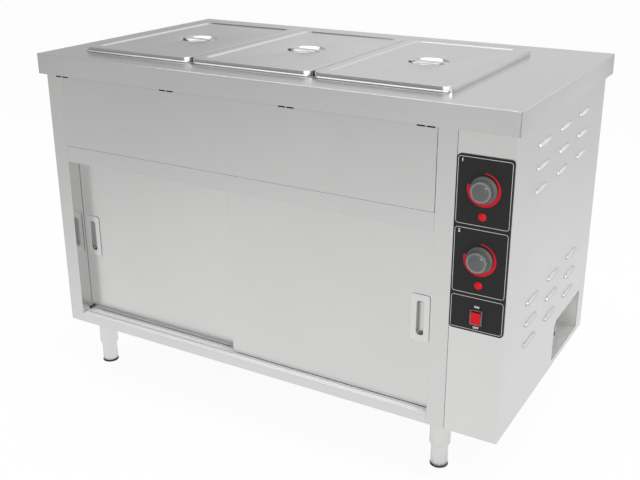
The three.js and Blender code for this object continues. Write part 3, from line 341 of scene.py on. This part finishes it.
finish = {
    "top": steel("steel_top", 0.6, 0.24, ALONG_X, reach=0.005, depth=0.3, wave=0.03, edge=0.0045,
                 top_edges=True, painted_bend_shade=0.34),
    "front": steel("steel_front", 0.6, 0.3, ALONG_X, reach=0.008, depth=0.25, wave=0.04),
    "stile": steel("steel_stile", 0.605, 0.26, ALONG_Z, reach=0.004, depth=0.2, streak=0.012, wave=0.03),
    "door": steel("steel_door", 0.6, 0.24, ALONG_X, reach=0.004, depth=0.2, wave=0.04),
    "side": steel("steel_side", 0.61, 0.33, ALONG_Z, reach=0.004, depth=0.05, wave=0.05, edge=0.002),
    "casing": steel("steel_casing", 0.64, 0.26, ALONG_Z, reach=0.004, depth=0.2, wave=0.03),
    "rail": steel("steel_rail", 0.63, 0.3, ALONG_X, reach=0.002, depth=0.05, streak=0.012, painted_top_light=0.97),
    "inside": steel("steel_inside", 0.6, 0.36, ALONG_X, reach=0.04, depth=0.35),
    "lid": steel("steel_lid", 0.6, 0.2, ALONG_Y, reach=0.008, depth=0.35, wave=0.015, edge=0.0003),
    "pan": steel("steel_pan", 0.6, 0.32, ALONG_Y, reach=0.01, depth=0.4),
    "bright": steel("steel_bright", 0.74, 0.16, ALONG_X, reach=0.006, depth=0.35, streak=0.02),
    "bar": steel("steel_bar", 0.62, 0.2, ALONG_X, reach=0.004, depth=0.4, streak=0.02),
    "cup": steel("steel_cup", 0.64, 0.22, ALONG_Z, reach=0.012, depth=0.75, streak=0.02),
    "leg": steel("steel_leg", 0.64, 0.3, ALONG_Z, reach=0.01, depth=0.4, streak=0.008),
    "zinc": cast("zinc_sheet", (0.66, 0.67, 0.675), 0.42, 0.2, 0.15, 160.0, metal=0.85, reach=0.03,
                 depth=0.3),
    "recess": cast("recess_sheet", (0.67, 0.67, 0.66), 0.42, 0.06, 0.15, 160.0, metal=0.3, reach=0.05,
                   depth=0.25),
    "nickel": cast("valve_nickel", (0.6, 0.59, 0.57), 0.34, 0.06, 0.2, 500.0, metal=1.0),
    "sheath": cast("heater_sheath", (0.11, 0.112, 0.115), 0.5, 0.25, 0.2, 400.0, metal=0.7),
    "plate": cast("control_plate_face", (0.0135, 0.0135, 0.0135), 0.6, 0.05, 0.1, 1800.0, depth=0.2,
                  gloss=0.25),
    "knob": cast("knob_plastic", (0.085, 0.087, 0.088), 0.42, 0.06, 0.15, 1500.0, edge=0.0008),
    "lens": cast("lamp_lens", (0.56, 0.004, 0.012), 0.5, 0.05, 0.08, 600.0, gloss=0.2),
    "nylon": cast("roller_nylon", (0.78, 0.76, 0.7), 0.5, 0.04, 0.1, 700.0),
    "rubber": cast("foot_rubber", (0.02, 0.02, 0.02), 0.7, 0.1, 0.3, 900.0),
    "bezel": cast("switch_bezel", (0.12, 0.12, 0.12), 0.45, 0.05, 0.1, 1200.0),
    "print": cast("print_grey", (0.6, 0.6, 0.58), 0.55, 0.05, 0.05, 1500.0, edge=0.0001, depth=0.0),
    "print_white": cast("print_white", (0.9, 0.9, 0.88), 0.55, 0.04, 0.05, 1500.0, edge=0.0001, depth=0.0),
    "ring_red": cast("print_red", (0.54, 0.006, 0.016), 0.6, 0.05, 0.05, 1500.0, edge=0.0001, depth=0.0,
                     gloss=0.2),
}

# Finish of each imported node
node_finish = {
    "worktop": "top", "pan_bar_1": "top", "pan_bar_2": "top", "water_tank": "inside", "tank_heater": "sheath",
    "drain_pipe": "bright", "drain_recess": "recess", "drain_valve": "nickel", "drain_lever": "bright",
    "side_panel_left": "side", "back_panel": "side", "cabinet_floor": "inside", "partition": "zinc",
    "stile_left": "stile", "stile_right": "stile", "apron_panel": "front", "header_rail": "front",
    "bottom_rail": "rail", "top_track": "zinc", "cupboard_ceiling": "inside", "cupboard_shelf": "inside",
    "cupboard_heater": "sheath", "heater_cover": "inside", "side_panel_louvred": "side",
    "box_casing": "casing", "control_plate": "plate", "thermostat_top": "zinc", "thermostat_bottom": "zinc",
    "knob_top": "knob", "knob_bottom": "knob", "lamp_top": "lens", "lamp_bottom": "lens",
    "switch_housing": "bezel", "switch_rocker": "lens", "cable_gland": "knob"}
for name in nodes:
    if name.startswith("pan_") and name not in node_finish:
        node_finish[name] = "pan"
    elif name.startswith("lid_handle"):
        node_finish[name] = "bar"
    elif name.endswith("_cup"):
        node_finish[name] = "cup"
    elif name.startswith("lid_"):
        node_finish[name] = "lid"
    elif "_roller_" in name:
        node_finish[name] = "nylon"
    elif name.startswith("door_"):
        node_finish[name] = "door"
    elif name.startswith(("leg_", "foot_")):
        node_finish[name] = "leg"


def make_smoother():
    """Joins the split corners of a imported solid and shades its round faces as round."""
    tree = bpy.data.node_groups.new("smooth_round_faces", "GeometryNodeTree")
    tree.interface.new_socket("Geometry", in_out="INPUT", socket_type="NodeSocketGeometry")
    tree.interface.new_socket("Geometry", in_out="OUTPUT", socket_type="NodeSocketGeometry")
    start, end = tree.nodes.new("NodeGroupInput"), tree.nodes.new("NodeGroupOutput")
    weld = put(tree, "GeometryNodeMergeByDistance", [("Distance", 0.02 * MM)])
    angle = put(tree, "GeometryNodeInputMeshEdgeAngle").outputs["Unsigned Angle"]
    gentle = put(tree, "FunctionNodeCompare", data_type="FLOAT", operation="LESS_THAN")
    gentle.inputs[1].default_value = math.radians(50)
    tree.links.new(angle, gentle.inputs[0])
    faces = put(tree, "GeometryNodeSetShadeSmooth", domain="FACE")
    edges = put(tree, "GeometryNodeSetShadeSmooth", domain="EDGE")
    tree.links.new(start.outputs[0], weld.inputs["Geometry"])
    tree.links.new(weld.outputs[0], faces.inputs["Geometry"])
    tree.links.new(faces.outputs[0], edges.inputs["Geometry"])
    tree.links.new(gentle.outputs[0], edges.inputs["Shade Smooth"])
    tree.links.new(edges.outputs[0], end.inputs[0])
    return tree


smoother = make_smoother()


def dress(obj, key):
    obj.data.materials.clear()
    obj.data.materials.append(finish[key])


def smooth(obj):
    obj.modifiers.new("smooth", "NODES").node_group = smoother


for name, obj in nodes.items():
    dress(obj, node_finish[name])
    bpy.context.view_layer.objects.active = obj
    bpy.ops.mesh.customdata_custom_splitnormals_clear()
    smooth(obj)


# Shapes of new pieces
def add_piece(name, mesh, key, body, place=(0, 0, 0), turn=(0, 0, 0)):
    """A piece with a finish that rides on a body and takes a material slot."""
    obj = bpy.data.objects.new(name, mesh)
    bpy.context.scene.collection.objects.link(obj)
    obj.location, obj.rotation_euler = place, turn
    dress(obj, key)
    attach(obj, body)
    return obj


def new_piece(name, points, faces, key, body):
    """A piece from points and faces, with its faces turned outwards."""
    mesh = bpy.data.meshes.new(name)
    mesh.from_pydata([tuple(p) for p in points], [], faces)
    mesh.update()
    outward = bmesh.new()
    outward.from_mesh(mesh)
    bmesh.ops.recalc_face_normals(outward, faces=outward.faces)
    outward.to_mesh(mesh)
    outward.free()
    return add_piece(name, mesh, key, body)


def round_loop(left, right, low, high, radius, steps=6):
    """A rectangle with round corners, as points of a plane."""
    loop = []
    for x, y, begin in ((right - radius, low + radius, -90), (right - radius, high - radius, 0),
                        (left + radius, high - radius, 90), (left + radius, low + radius, 180)):
        for k in range(steps + 1):
            turn = math.radians(begin + 90 * k / steps)
            loop.append((x + radius * math.cos(turn), y + radius * math.sin(turn)))
    return loop


def corner_loop(width, length, radius):
    """A rectangle with round corners about the origin."""
    return round_loop(-width / 2, width / 2, -length / 2, length / 2, radius, 8)


def circle_loop(radius, count):
    return [(radius * math.cos(2 * math.pi * k / count), radius * math.sin(2 * math.pi * k / count))
            for k in range(count)]


def strip_faces(count, rings, closed=False):
    """Faces between rings of count points each, numbered ring by ring."""
    pairs = [(a, (a + 1) % rings) for a in range(rings if closed else rings - 1)]
    return [(a * count + k, a * count + (k + 1) % count, b * count + (k + 1) % count, b * count + k)
            for a, b in pairs for k in range(count)]


def slab(loop, back, front):
    """Points and faces of a flat closed slab with the outline loop of (x, z), between two values of y."""
    count = len(loop)
    points = [(x, y, z) for y in (back, front) for x, z in loop]
    faces = [tuple(range(count)), tuple(range(2 * count - 1, count - 1, -1))]
    return points, faces + strip_faces(count, 2)


def band(inner, outer, back, front):
    """Points and faces of a flat closed band on a front face, between two loops of (x, z)."""
    count = len(inner)
    points = [(x, y, z) for loop in (inner, outer) for y in (back, front) for x, z in loop]
    a, b, c, d = 0, count, 2 * count, 3 * count
    faces = []
    for i in range(count):
        j = (i + 1) % count
        faces += [(a + i, a + j, b + j, b + i), (c + i, d + i, d + j, c + j),
                  (b + i, b + j, d + j, d + i), (a + i, c + i, c + j, a + j)]
    return points, faces


def gather(shapes):
    """Several shapes in one: the points and faces of all."""
    points, faces = [], []
    for more, sides in shapes:
        start = len(points)
        points += more
        faces += [tuple(start + i for i in side) for side in sides]
    return points, faces


# Printing on the control plate: a frame round each field
plate_low, plate_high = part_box("control_plate")
INK = 0.12 * MM
LINE_WIDTH = 0.95 * MM
FRAME_INSET = 2.6 * MM
FRAME_RADIUS = 6.0 * MM
FRAME_RADIUS_INSIDE = 4.8 * MM
FRAMES = ((3.8, 145.0), (152.8, 295.0), (302.6, 376.7))   # top and bottom in mm below the plate's top
ink_back, ink_front = plate_low.y, plate_low.y - INK
for number, (top, bottom) in enumerate(FRAMES, 1):
    left, right = plate_low.x + FRAME_INSET, plate_high.x - FRAME_INSET
    high, low = plate_high.z - top * MM, plate_high.z - bottom * MM
    outer = round_loop(left, right, low, high, FRAME_RADIUS)
    inner = round_loop(left + LINE_WIDTH, right - LINE_WIDTH, low + LINE_WIDTH, high - LINE_WIDTH,
                       FRAME_RADIUS_INSIDE)
    points, faces = band(inner, outer, ink_back, ink_front)
    new_piece(f"plate_outline_{number}", points, faces, "print", "counter")

CAPITAL_SHARE = 0.7     # a capital's height against the font's size
LETTER_HALF_DEPTH = 0.06 * MM
LETTER_BOLDER = 0.15 * MM
WORD_HEIGHT = 4.6 * MM
NUMBER_HEIGHT = 7 * MM


def words(name, text, x, z, height):
    """White lettering on the control plate, centred on x, with its base line at z."""
    curve = bpy.data.curves.new(name, "FONT")
    curve.body = text
    curve.size = height / CAPITAL_SHARE
    curve.align_x = "CENTER"
    curve.extrude = LETTER_HALF_DEPTH
    curve.offset = LETTER_BOLDER
    curve.space_character = 1.15
    letters = bpy.data.objects.new(name + "_source", curve)
    bpy.context.scene.collection.objects.link(letters)
    bpy.context.view_layer.update()
    mesh = bpy.data.meshes.new_from_object(letters)
    bpy.data.objects.remove(letters)
    add_piece(name, mesh, "print_white", "counter",
              place=(x, plate_low.y - LETTER_HALF_DEPTH, z), turn=(math.pi / 2, 0, 0))


ON_ABOVE_SWITCH, OFF_BELOW_SWITCH = 4.2 * MM, 8.8 * MM
NUMBER_INSET = 12 * MM
NUMBER_DROPS = {"1": 15 * MM, "2": 164 * MM}
switch_low, switch_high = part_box("switch_housing")
plate_middle = (plate_low.x + plate_high.x) / 2
words("switch_word_on", "ON", plate_middle, switch_high.z + ON_ABOVE_SWITCH, WORD_HEIGHT)
words("switch_word_off", "OFF", plate_middle, switch_low.z - OFF_BELOW_SWITCH, WORD_HEIGHT)
for digit, drop in NUMBER_DROPS.items():
    words(f"zone_number_{digit}", digit, plate_low.x + NUMBER_INSET, plate_high.z - drop, NUMBER_HEIGHT)

# Red rings that widen round the knobs, ticks and a pointer dot on their caps
RING_RADIUS = 35.6 * MM
RING_START, RING_SWEEP, RING_STEPS = 88.0, 282.0, 72
RING_THIN, RING_GROWS, RING_GROWN = 2.2 * MM, 4.6 * MM, 0.45   # grown after this share of the sweep
TICKS, TICK_FROM, TICK_TO, TICK_HALF_WIDTH = 30, 18.0 * MM, 21.2 * MM, 0.28 * MM
DOT_OUT, DOT_RADIUS, DOT_ANGLE, DOT_SIDES = 15 * MM, 1.1 * MM, math.radians(45), 16
TICK_INK, DOT_INK = 0.1 * MM, 0.14 * MM


def ease(x):
    """A smooth step from 0 to 1."""
    return x * x * (3 - 2 * x)


for zone in ("top", "bottom"):
    knob_low, knob_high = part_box(f"knob_{zone}")
    centre_x, centre_z = (knob_low.x + knob_high.x) / 2, (knob_low.z + knob_high.z) / 2
    inner, outer = [], []
    for k in range(RING_STEPS + 1):
        share = k / RING_STEPS
        turn = math.radians(RING_START - RING_SWEEP * share)
        width = RING_THIN + RING_GROWS * ease(min(share / RING_GROWN, 1.0))
        for radius, loop in ((RING_RADIUS - width, inner), (RING_RADIUS, outer)):
            loop.append((centre_x + radius * math.cos(turn), centre_z + radius * math.sin(turn)))
    loop = outer + inner[::-1]
    count = len(loop)
    points = [(x, y, z) for y in (ink_back, ink_front) for x, z in loop]
    faces = strip_faces(count, 2)
    for shift, order in ((0, 1), (count, -1)):
        for i in range(RING_STEPS):
            faces.append(tuple(shift + n for n in (i, i + 1, count - 2 - i, count - 1 - i)[::order]))
    new_piece(f"heat_ring_{zone}", points, faces, "ring_red", "counter")

    cap_y = knob_low.y
    ticks = []
    for k in range(TICKS):
        turn = math.radians(90 - 360 / TICKS * k)
        along = Vector((math.cos(turn), math.sin(turn)))
        across = Vector((-along.y, along.x)) * TICK_HALF_WIDTH
        corners = [along * out + side * across for out, side in (
            (TICK_FROM, -1), (TICK_FROM, 1), (TICK_TO, 1), (TICK_TO, -1))]
        ticks.append(slab([(centre_x + c.x, centre_z + c.y) for c in corners], cap_y, cap_y - TICK_INK))
    points, faces = gather(ticks)
    new_piece(f"knob_ticks_{zone}", points, faces, "print_white", f"knob_{zone}")
    dot_x, dot_z = centre_x + DOT_OUT * math.cos(DOT_ANGLE), centre_z + DOT_OUT * math.sin(DOT_ANGLE)
    points, faces = slab([(dot_x + x, dot_z + z) for x, z in circle_loop(DOT_RADIUS, DOT_SIDES)],
                         cap_y, cap_y - DOT_INK)
    new_piece(f"knob_dot_{zone}", points, faces, "print_white", f"knob_{zone}")

# Lids: pressed covers with a rounded edge, a lowered panel and a bowl under the strap
SHEET = 1.2 * MM
LID_HIGHER = 2.6 * MM
LID_WIDER = 4.2 * MM
LID_SET_BACK = 4.0 * MM
LID_CORNER = 25.0 * MM
LID_CORNER_INSIDE = 20.0 * MM
PANEL_DROP = 3.4 * MM
# Both skins, in mm: inwards from the lid's edge, and down from its top
OUTER_SKIN = ((0, 0.45), (0.05, 0.2), (0.2, 0.05), (0.45, 0), (23, 0), (24, 0.1), (25, 0.5), (26.4, 1.2),
              (29.4, 2.6), (30.4, 3.0), (31.6, 3.3), (33, 3.4))
INNER_SKIN = ((1.2, 1.5), (1.5, 1.2), (22, 1.2), (23.6, 1.6), (25.6, 2.4), (28.8, 3.8), (30.6, 4.3),
              (32.4, 4.6))
# The bowl's outside, in mm: radius, and down from the panel
BOWL = ((49.6, 0), (49.0, 0.1), (48.4, 0.5), (47.6, 1.2), (44, 4.8), (40, 8.8), (37.4, 11.3), (34.6, 13.2),
        (31, 14.6), (26.4, 15.4), (19, 15.8), (9.0, 16.0))
BOWL_INSIDE_WIDER = 0.9 * MM
BOWL_SIDES = 64


def pressed_cover(name, centre, width, length, low_z, top, body):
    """A sheet cover with two skins, from the skirt over its border down to the panel and the bowl. The
    outline is moved back against the bowl by half the setback."""
    cover = bmesh.new()

    def ring_of(loop, z, back=0.0):
        return [cover.verts.new((centre[0] + x, centre[1] + y + back, z)) for x, y in loop]

    def join(rings):
        for first, second in zip(rings, rings[1:]):
            for k in range(len(first)):
                j = (k + 1) % len(first)
                cover.faces.new((first[k], first[j], second[j], second[k]))

    hems = []
    panel_z = top - PANEL_DROP
    for profile, wider, thick in ((OUTER_SKIN, 0.0, 0.0), (INNER_SKIN, BOWL_INSIDE_WIDER, SHEET)):
        levels = [(profile[0][0] * MM, low_z)] + [(inset * MM, top - drop * MM) for inset, drop in profile]
        rings = [ring_of(corner_loop(width - 2 * inset, length - 2 * inset,
                                     max(LID_CORNER - inset, LID_CORNER_INSIDE)), z, LID_SET_BACK / 2)
                 for inset, z in levels]
        join(rings)
        bowl = [ring_of(circle_loop(radius * MM + wider, BOWL_SIDES), panel_z - drop * MM - thick)
                for radius, drop in BOWL]
        join(bowl)
        cover.faces.new(bowl[-1])
        edges = []
        for loop in (rings[-1], bowl[0]):
            edges += [cover.edges.get((loop[k], loop[(k + 1) % len(loop)])) for k in range(len(loop))]
        bmesh.ops.triangle_fill(cover, edges=edges, use_beauty=True)
        hems.append(rings[0])
    join(hems)
    bmesh.ops.recalc_face_normals(cover, faces=cover.faces)
    mesh = bpy.data.meshes.new(name)
    cover.to_mesh(mesh)
    cover.free()
    obj = add_piece(name, mesh, "lid", body)
    smooth(obj)
    return obj


STRAP_HALF = 53 * MM
STRAP_WIDTH = 14 * MM
STRAP_BELOW_PANEL = 0.6 * MM
STRAP_HALF_THICK, STRAP_ROUND = 1.0 * MM, 0.6 * MM
STRAP_THIN = 2          # the depth at its ends in mm
# Half of the strap: place from its middle as a share of its half length, rise and depth in mm
STRAP_STATIONS = ((-1.0, -1.4, 2), (-0.94, -0.5, 2), (-0.86, 0.0, 2), (-0.8, 0.2, 3.5), (-0.72, 0.35, 5.5),
                  (-0.6, 0.5, 7), (-0.3, 0.7, 7), (0.0, 0.8, 7))


def strap(name, centre, level, body):
    """A strap along X: let in at its ends, slightly arched, and deeper over the bowl."""
    stations = list(STRAP_STATIONS) + [(-along, up, deep) for along, up, deep in STRAP_STATIONS[-2::-1]]
    section = round_loop(-STRAP_WIDTH / 2, STRAP_WIDTH / 2, -STRAP_HALF_THICK, STRAP_HALF_THICK,
                         STRAP_ROUND, 3)
    points = [(centre[0] + along * STRAP_HALF, centre[1] + y,
               level + up * MM + (z if z > 0 else z + (STRAP_THIN - deep) * MM))
              for along, up, deep in stations for y, z in section]
    count = len(section)
    faces = strip_faces(count, len(stations))
    faces += [tuple(range(count)), tuple(range(len(points) - count, len(points)))]
    obj = new_piece(name, points, faces, "bar", body)
    smooth(obj)
    return obj


# The pan's turned-down edge, in mm: inwards from the lid's box, and up from the worktop
PAN_RIM = ((7.6, 3.6), (4.4, 3.8), (3.4, 3.5), (2.6, 3.1), (1.2, 0.8), (0.9, 0.35), (0.9, 0.05), (7.6, 0.05),
           (7.6, 3.6))
PAN_CORNER = 18
top_low, top_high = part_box("worktop")
for number in (1, 2, 3):
    low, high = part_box(f"lid_{number}")
    centre = ((low.x + high.x) / 2, (low.y + high.y) / 2)
    width, length = high.x - low.x, high.y - low.y
    lid_top = high.z + LID_HIGHER
    shell = pressed_cover(f"lid_cover_{number}", centre, width + 2 * LID_WIDER, length - LID_SET_BACK, low.z,
                          lid_top, f"lid_{number}")
    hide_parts(f"lid_{number}")
    grip = strap(f"lid_strap_{number}", centre, lid_top - PANEL_DROP - STRAP_BELOW_PANEL, f"lid_{number}")
    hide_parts(f"lid_handle_{number}")

    # The sloping rim that shows in front of the lid
    loops = [corner_loop(width - 2 * inset * MM, length - 2 * inset * MM, (PAN_CORNER - inset) * MM)
             for inset, _ in PAN_RIM]
    points = [(centre[0] + x, centre[1] + y, top_high.z + rise * MM)
              for loop, (_, rise) in zip(loops, PAN_RIM) for x, y in loop]
    edge = new_piece(f"pan_rim_{number}", points, strip_faces(len(loops[0]), len(loops)), "pan",
                     f"pan_{number}")
    smooth(edge)

# A thin black disc on the left jamb, level with the ridges of the bottom rail: painted shade where a hole is
JAMB_X, HOLE_SHADE_Y, HOLE_SHADE_Z = -569.5 * MM, -310.0 * MM, 188.8 * MM
HOLE_SHADE_RADIUS, HOLE_SHADE_THICKNESS = 5.0 * MM, 0.3 * MM
points, faces = slab([(HOLE_SHADE_Y + y, HOLE_SHADE_Z + z) for y, z in circle_loop(HOLE_SHADE_RADIUS, 24)], JAMB_X,
                     JAMB_X + HOLE_SHADE_THICKNESS)
new_piece("jamb_hole_shade", [(x, y, z) for y, x, z in points], faces, "rubber", "counter")

# Rubber pads round the screw feet: radius and height in mm
PAD_PROFILE = ((20.9, 0.0), (21.8, 0.4), (21.9, 2.6), (21.3, 3.4), (20.9, 3.4))
PAD_SIDES = 32
for row in ("front", "back"):
    for side in ("left", "right"):
        low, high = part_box(f"foot_{row}_{side}")
        points = [((low.x + high.x) / 2 + x, (low.y + high.y) / 2 + y, z * MM)
                  for radius, z in PAD_PROFILE for x, y in circle_loop(radius * MM, PAD_SIDES)]
        new_piece(f"foot_pad_{row}_{side}", points, strip_faces(PAD_SIDES, len(PAD_PROFILE), closed=True),
                  "rubber", f"foot_{row}_{side}")

# Screws round the edge of the back panel
SCREW_RADIUS, SCREW_RISE, SCREW_SIDES, SCREW_RINGS = 3.6 * MM, 1.6 * MM, 18, 4
SCREW_ROUNDNESS = 0.86  # how far the dome closes before its dent
SCREW_DENT = 0.45       # the dent's floor as a share of the rise
SCREW_INSET, SCREW_LOW, SCREW_HIGH = 12 * MM, 30 * MM, 90 * MM
SCREW_COLUMNS, SCREW_ROWS = 5, 4


def dome_screw(x, y, z):
    """Points and faces of a domed screw head that stands out along +Y, dented in its middle."""
    points = []
    for ring in range(SCREW_RINGS + 1):
        quarter = math.pi / 2 * ring / SCREW_RINGS
        wide = SCREW_RADIUS * math.cos(quarter * SCREW_ROUNDNESS)
        points += [(x + across, y + SCREW_RISE * math.sin(quarter), z + up)
                   for across, up in circle_loop(wide, SCREW_SIDES)]
    faces = strip_faces(SCREW_SIDES, SCREW_RINGS + 1)
    middle, lip = len(points), SCREW_RINGS * SCREW_SIDES
    points.append((x, y + SCREW_RISE * SCREW_DENT, z))
    faces += [(lip + k, lip + (k + 1) % SCREW_SIDES, middle) for k in range(SCREW_SIDES)]
    faces.append(tuple(range(SCREW_SIDES)))
    return points, faces


panel_low, panel_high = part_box("back_panel")
screw_step = (panel_high.x - panel_low.x - 2 * SCREW_INSET) / (SCREW_COLUMNS - 1)
screw_rise = (panel_high.z - panel_low.z - SCREW_LOW - SCREW_HIGH) / (SCREW_ROWS - 1)
points, faces = gather([
    dome_screw(panel_low.x + SCREW_INSET + column * screw_step, panel_high.y,
               panel_low.z + SCREW_LOW + row * screw_rise)
    for column in range(SCREW_COLUMNS) for row in range(SCREW_ROWS)
    if column in (0, SCREW_COLUMNS - 1) or row in (0, SCREW_ROWS - 1)])
new_piece("back_panel_screws", points, faces, "bright", "counter")

# Studio: a pale floor that the camera and the steel see lit evenly, and that keeps the object's shadow
WHITE = (1.0, 1.0, 1.0, 1.0)
PAPER = (0.9, 0.9, 0.9, 1.0)
FLOOR_REACH = 14
FLOOR_GLOW = 0.93       # the rest of the floor's light is what falls on it
floor_mesh = bpy.data.meshes.new("studio_floor")
corners = [(x * FLOOR_REACH, y * FLOOR_REACH, 0) for x, y in ((-1, -1), (1, -1), (1, 1), (-1, 1))]
floor_mesh.from_pydata(corners, [], [(0, 1, 2, 3)])
floor = bpy.data.objects.new("studio_floor", floor_mesh)
bpy.context.scene.collection.objects.link(floor)
material = bpy.data.materials.new("studio_paper")
material.use_nodes = True
tree = material.node_tree
tree.nodes.clear()
place = object_place(tree)
away = put(tree, "ShaderNodeVectorMath", [(0, place)], operation="LENGTH").outputs["Value"]
path = put(tree, "ShaderNodeLightPath").outputs
# Mirrored, the floor falls off with the distance and to the left
far_off = remap(tree, away, 3.9, 5.5, 0.0, -0.11)
far_left = remap(tree, axes_of(tree, place)["X"], -1.1, -1.8, 0.0, -0.08)
mirrored = maths(tree, "ADD", remap(tree, away, 0.7, 2.9, 1.1, 0.87), maths(tree, "ADD", far_left, far_off))
light = put(tree, "ShaderNodeEmission", [
    ("Color", WHITE), ("Strength", mix(tree, "VALUE", path["Is Camera Ray"], mirrored, 1.0))])
seen = maths(tree, "MAXIMUM", path["Is Camera Ray"],
             maths(tree, "MAXIMUM", path["Is Glossy Ray"], path["Is Transmission Ray"]))
paper = put(tree, "ShaderNodeBsdfDiffuse", [("Color", PAPER)])
blend = put(tree, "ShaderNodeMixShader", [
    (0, times(tree, seen, FLOOR_GLOW)), (1, paper.outputs[0]), (2, light.outputs[0])])
put(tree, "ShaderNodeOutputMaterial", [("Surface", blend.outputs[0])])
floor_mesh.materials.append(material)

# The room as the steel mirrors it, by direction; the camera itself sees plain white
world = bpy.data.worlds.new("studio_room")
bpy.context.scene.world = world
world.use_nodes = True
tree = world.node_tree
tree.nodes.clear()
toward = axes_of(tree, put(tree, "ShaderNodeTexCoord").outputs["Generated"])
# Low down: dim on the left, dimmer in front, and a bright window at the back right
low_level = remap(tree, toward["X"], -0.62, -0.48, 0.53, 0.77)
low_level = mix(tree, "VALUE", remap(tree, toward["Y"], -0.2, -0.4, 0.0, 1.0), low_level, 0.42)
window = times(tree, remap(tree, toward["Z"], 0.17, 0.24, 1.0, 0.0), times(
    tree, remap(tree, toward["X"], 0.2, 0.35, 0.0, 1.0), remap(tree, toward["Y"], 0.3, 0.5, 0.0, 1.0)))
low_level = mix(tree, "VALUE", window, low_level, 1.5)
# High up: brighter towards the back, with a dark patch on the left
high_level = remap(tree, toward["Y"], 0.6, 0.8, 0.75, 1.25)
level = mix(tree, "VALUE", remap(tree, toward["Z"], 0.3, 0.6, 0.0, 1.0), low_level, high_level)
patch = times(tree, remap(tree, toward["X"], -0.38, -0.46, 0.0, 1.0), times(
    tree, remap(tree, toward["Y"], 0.1, 0.22, 0.0, 1.0), remap(tree, toward["Z"], 0.5, 0.62, 0.0, 1.0)))
level = times(tree, level, maths(tree, "SUBTRACT", 1.0, times(tree, patch, 0.7)))
camera_ray = put(tree, "ShaderNodeLightPath").outputs["Is Camera Ray"]
sky = put(tree, "ShaderNodeBackground", [
    ("Color", WHITE), ("Strength", mix(tree, "VALUE", camera_ray, level, 1.0))])
put(tree, "ShaderNodeOutputWorld", [("Surface", sky.outputs[0])])

# Softboxes: name, place, what they face, width and height, watts
for name, place, target, (wide, tall), watts in (
        ("key_softbox", (2.4, -0.9, 3.3), (0.1, 0.0, 0.6), (0.6, 0.6), 14),
        ("top_softbox", (-0.5, -0.35, 3.4), (-0.5, -0.35, 0.9), (4.2, 1.7), 44),
        ("corner_softbox", (2.6, -3.2, 1.2), (0.2, -0.2, 0.9), (4.4, 2.2), 52),
        ("side_softbox", (3.3, -0.5, 2.1), (0.62, -0.1, 0.6), (1.0, 1.0), 16),
        ("back_softbox", (-0.4, 1.62, 3.3), (-0.2, 0.2, 0.9), (1.7, 0.5), 3.6)):
    lamp = bpy.data.lights.new(name, "AREA")
    lamp.shape = "RECTANGLE"
    lamp.size, lamp.size_y = wide, tall
    lamp.energy = watts
    obj = bpy.data.objects.new(name, lamp)
    bpy.context.scene.collection.objects.link(obj)
    obj.location = place
    obj.rotation_euler = (Vector(target) - Vector(place)).to_track_quat("-Z", "Y").to_euler()

# Camera at the photograph's viewing angle, placed from the worktop's front left corner
camera = bpy.data.objects.new("camera", bpy.data.cameras.new("camera"))
bpy.context.scene.collection.objects.link(camera)
CAMERA_OFFSET = (1.7795, -1.6394, 0.4037)
CAMERA_DOWN, CAMERA_LEFT = 0.3514, 0.5207   # radians
camera.location = Vector((top_low.x, top_low.y, top_high.z)) + Vector(CAMERA_OFFSET)
camera.rotation_euler = (math.pi / 2 - CAMERA_DOWN, 0.0, CAMERA_LEFT)
camera.data.lens = 51.73
camera.data.sensor_width = 36.0
camera.data.shift_x = -0.01075
camera.data.shift_y = -0.03286
bpy.context.scene.camera = camera
bpy.context.scene.view_settings.view_transform = "Standard"
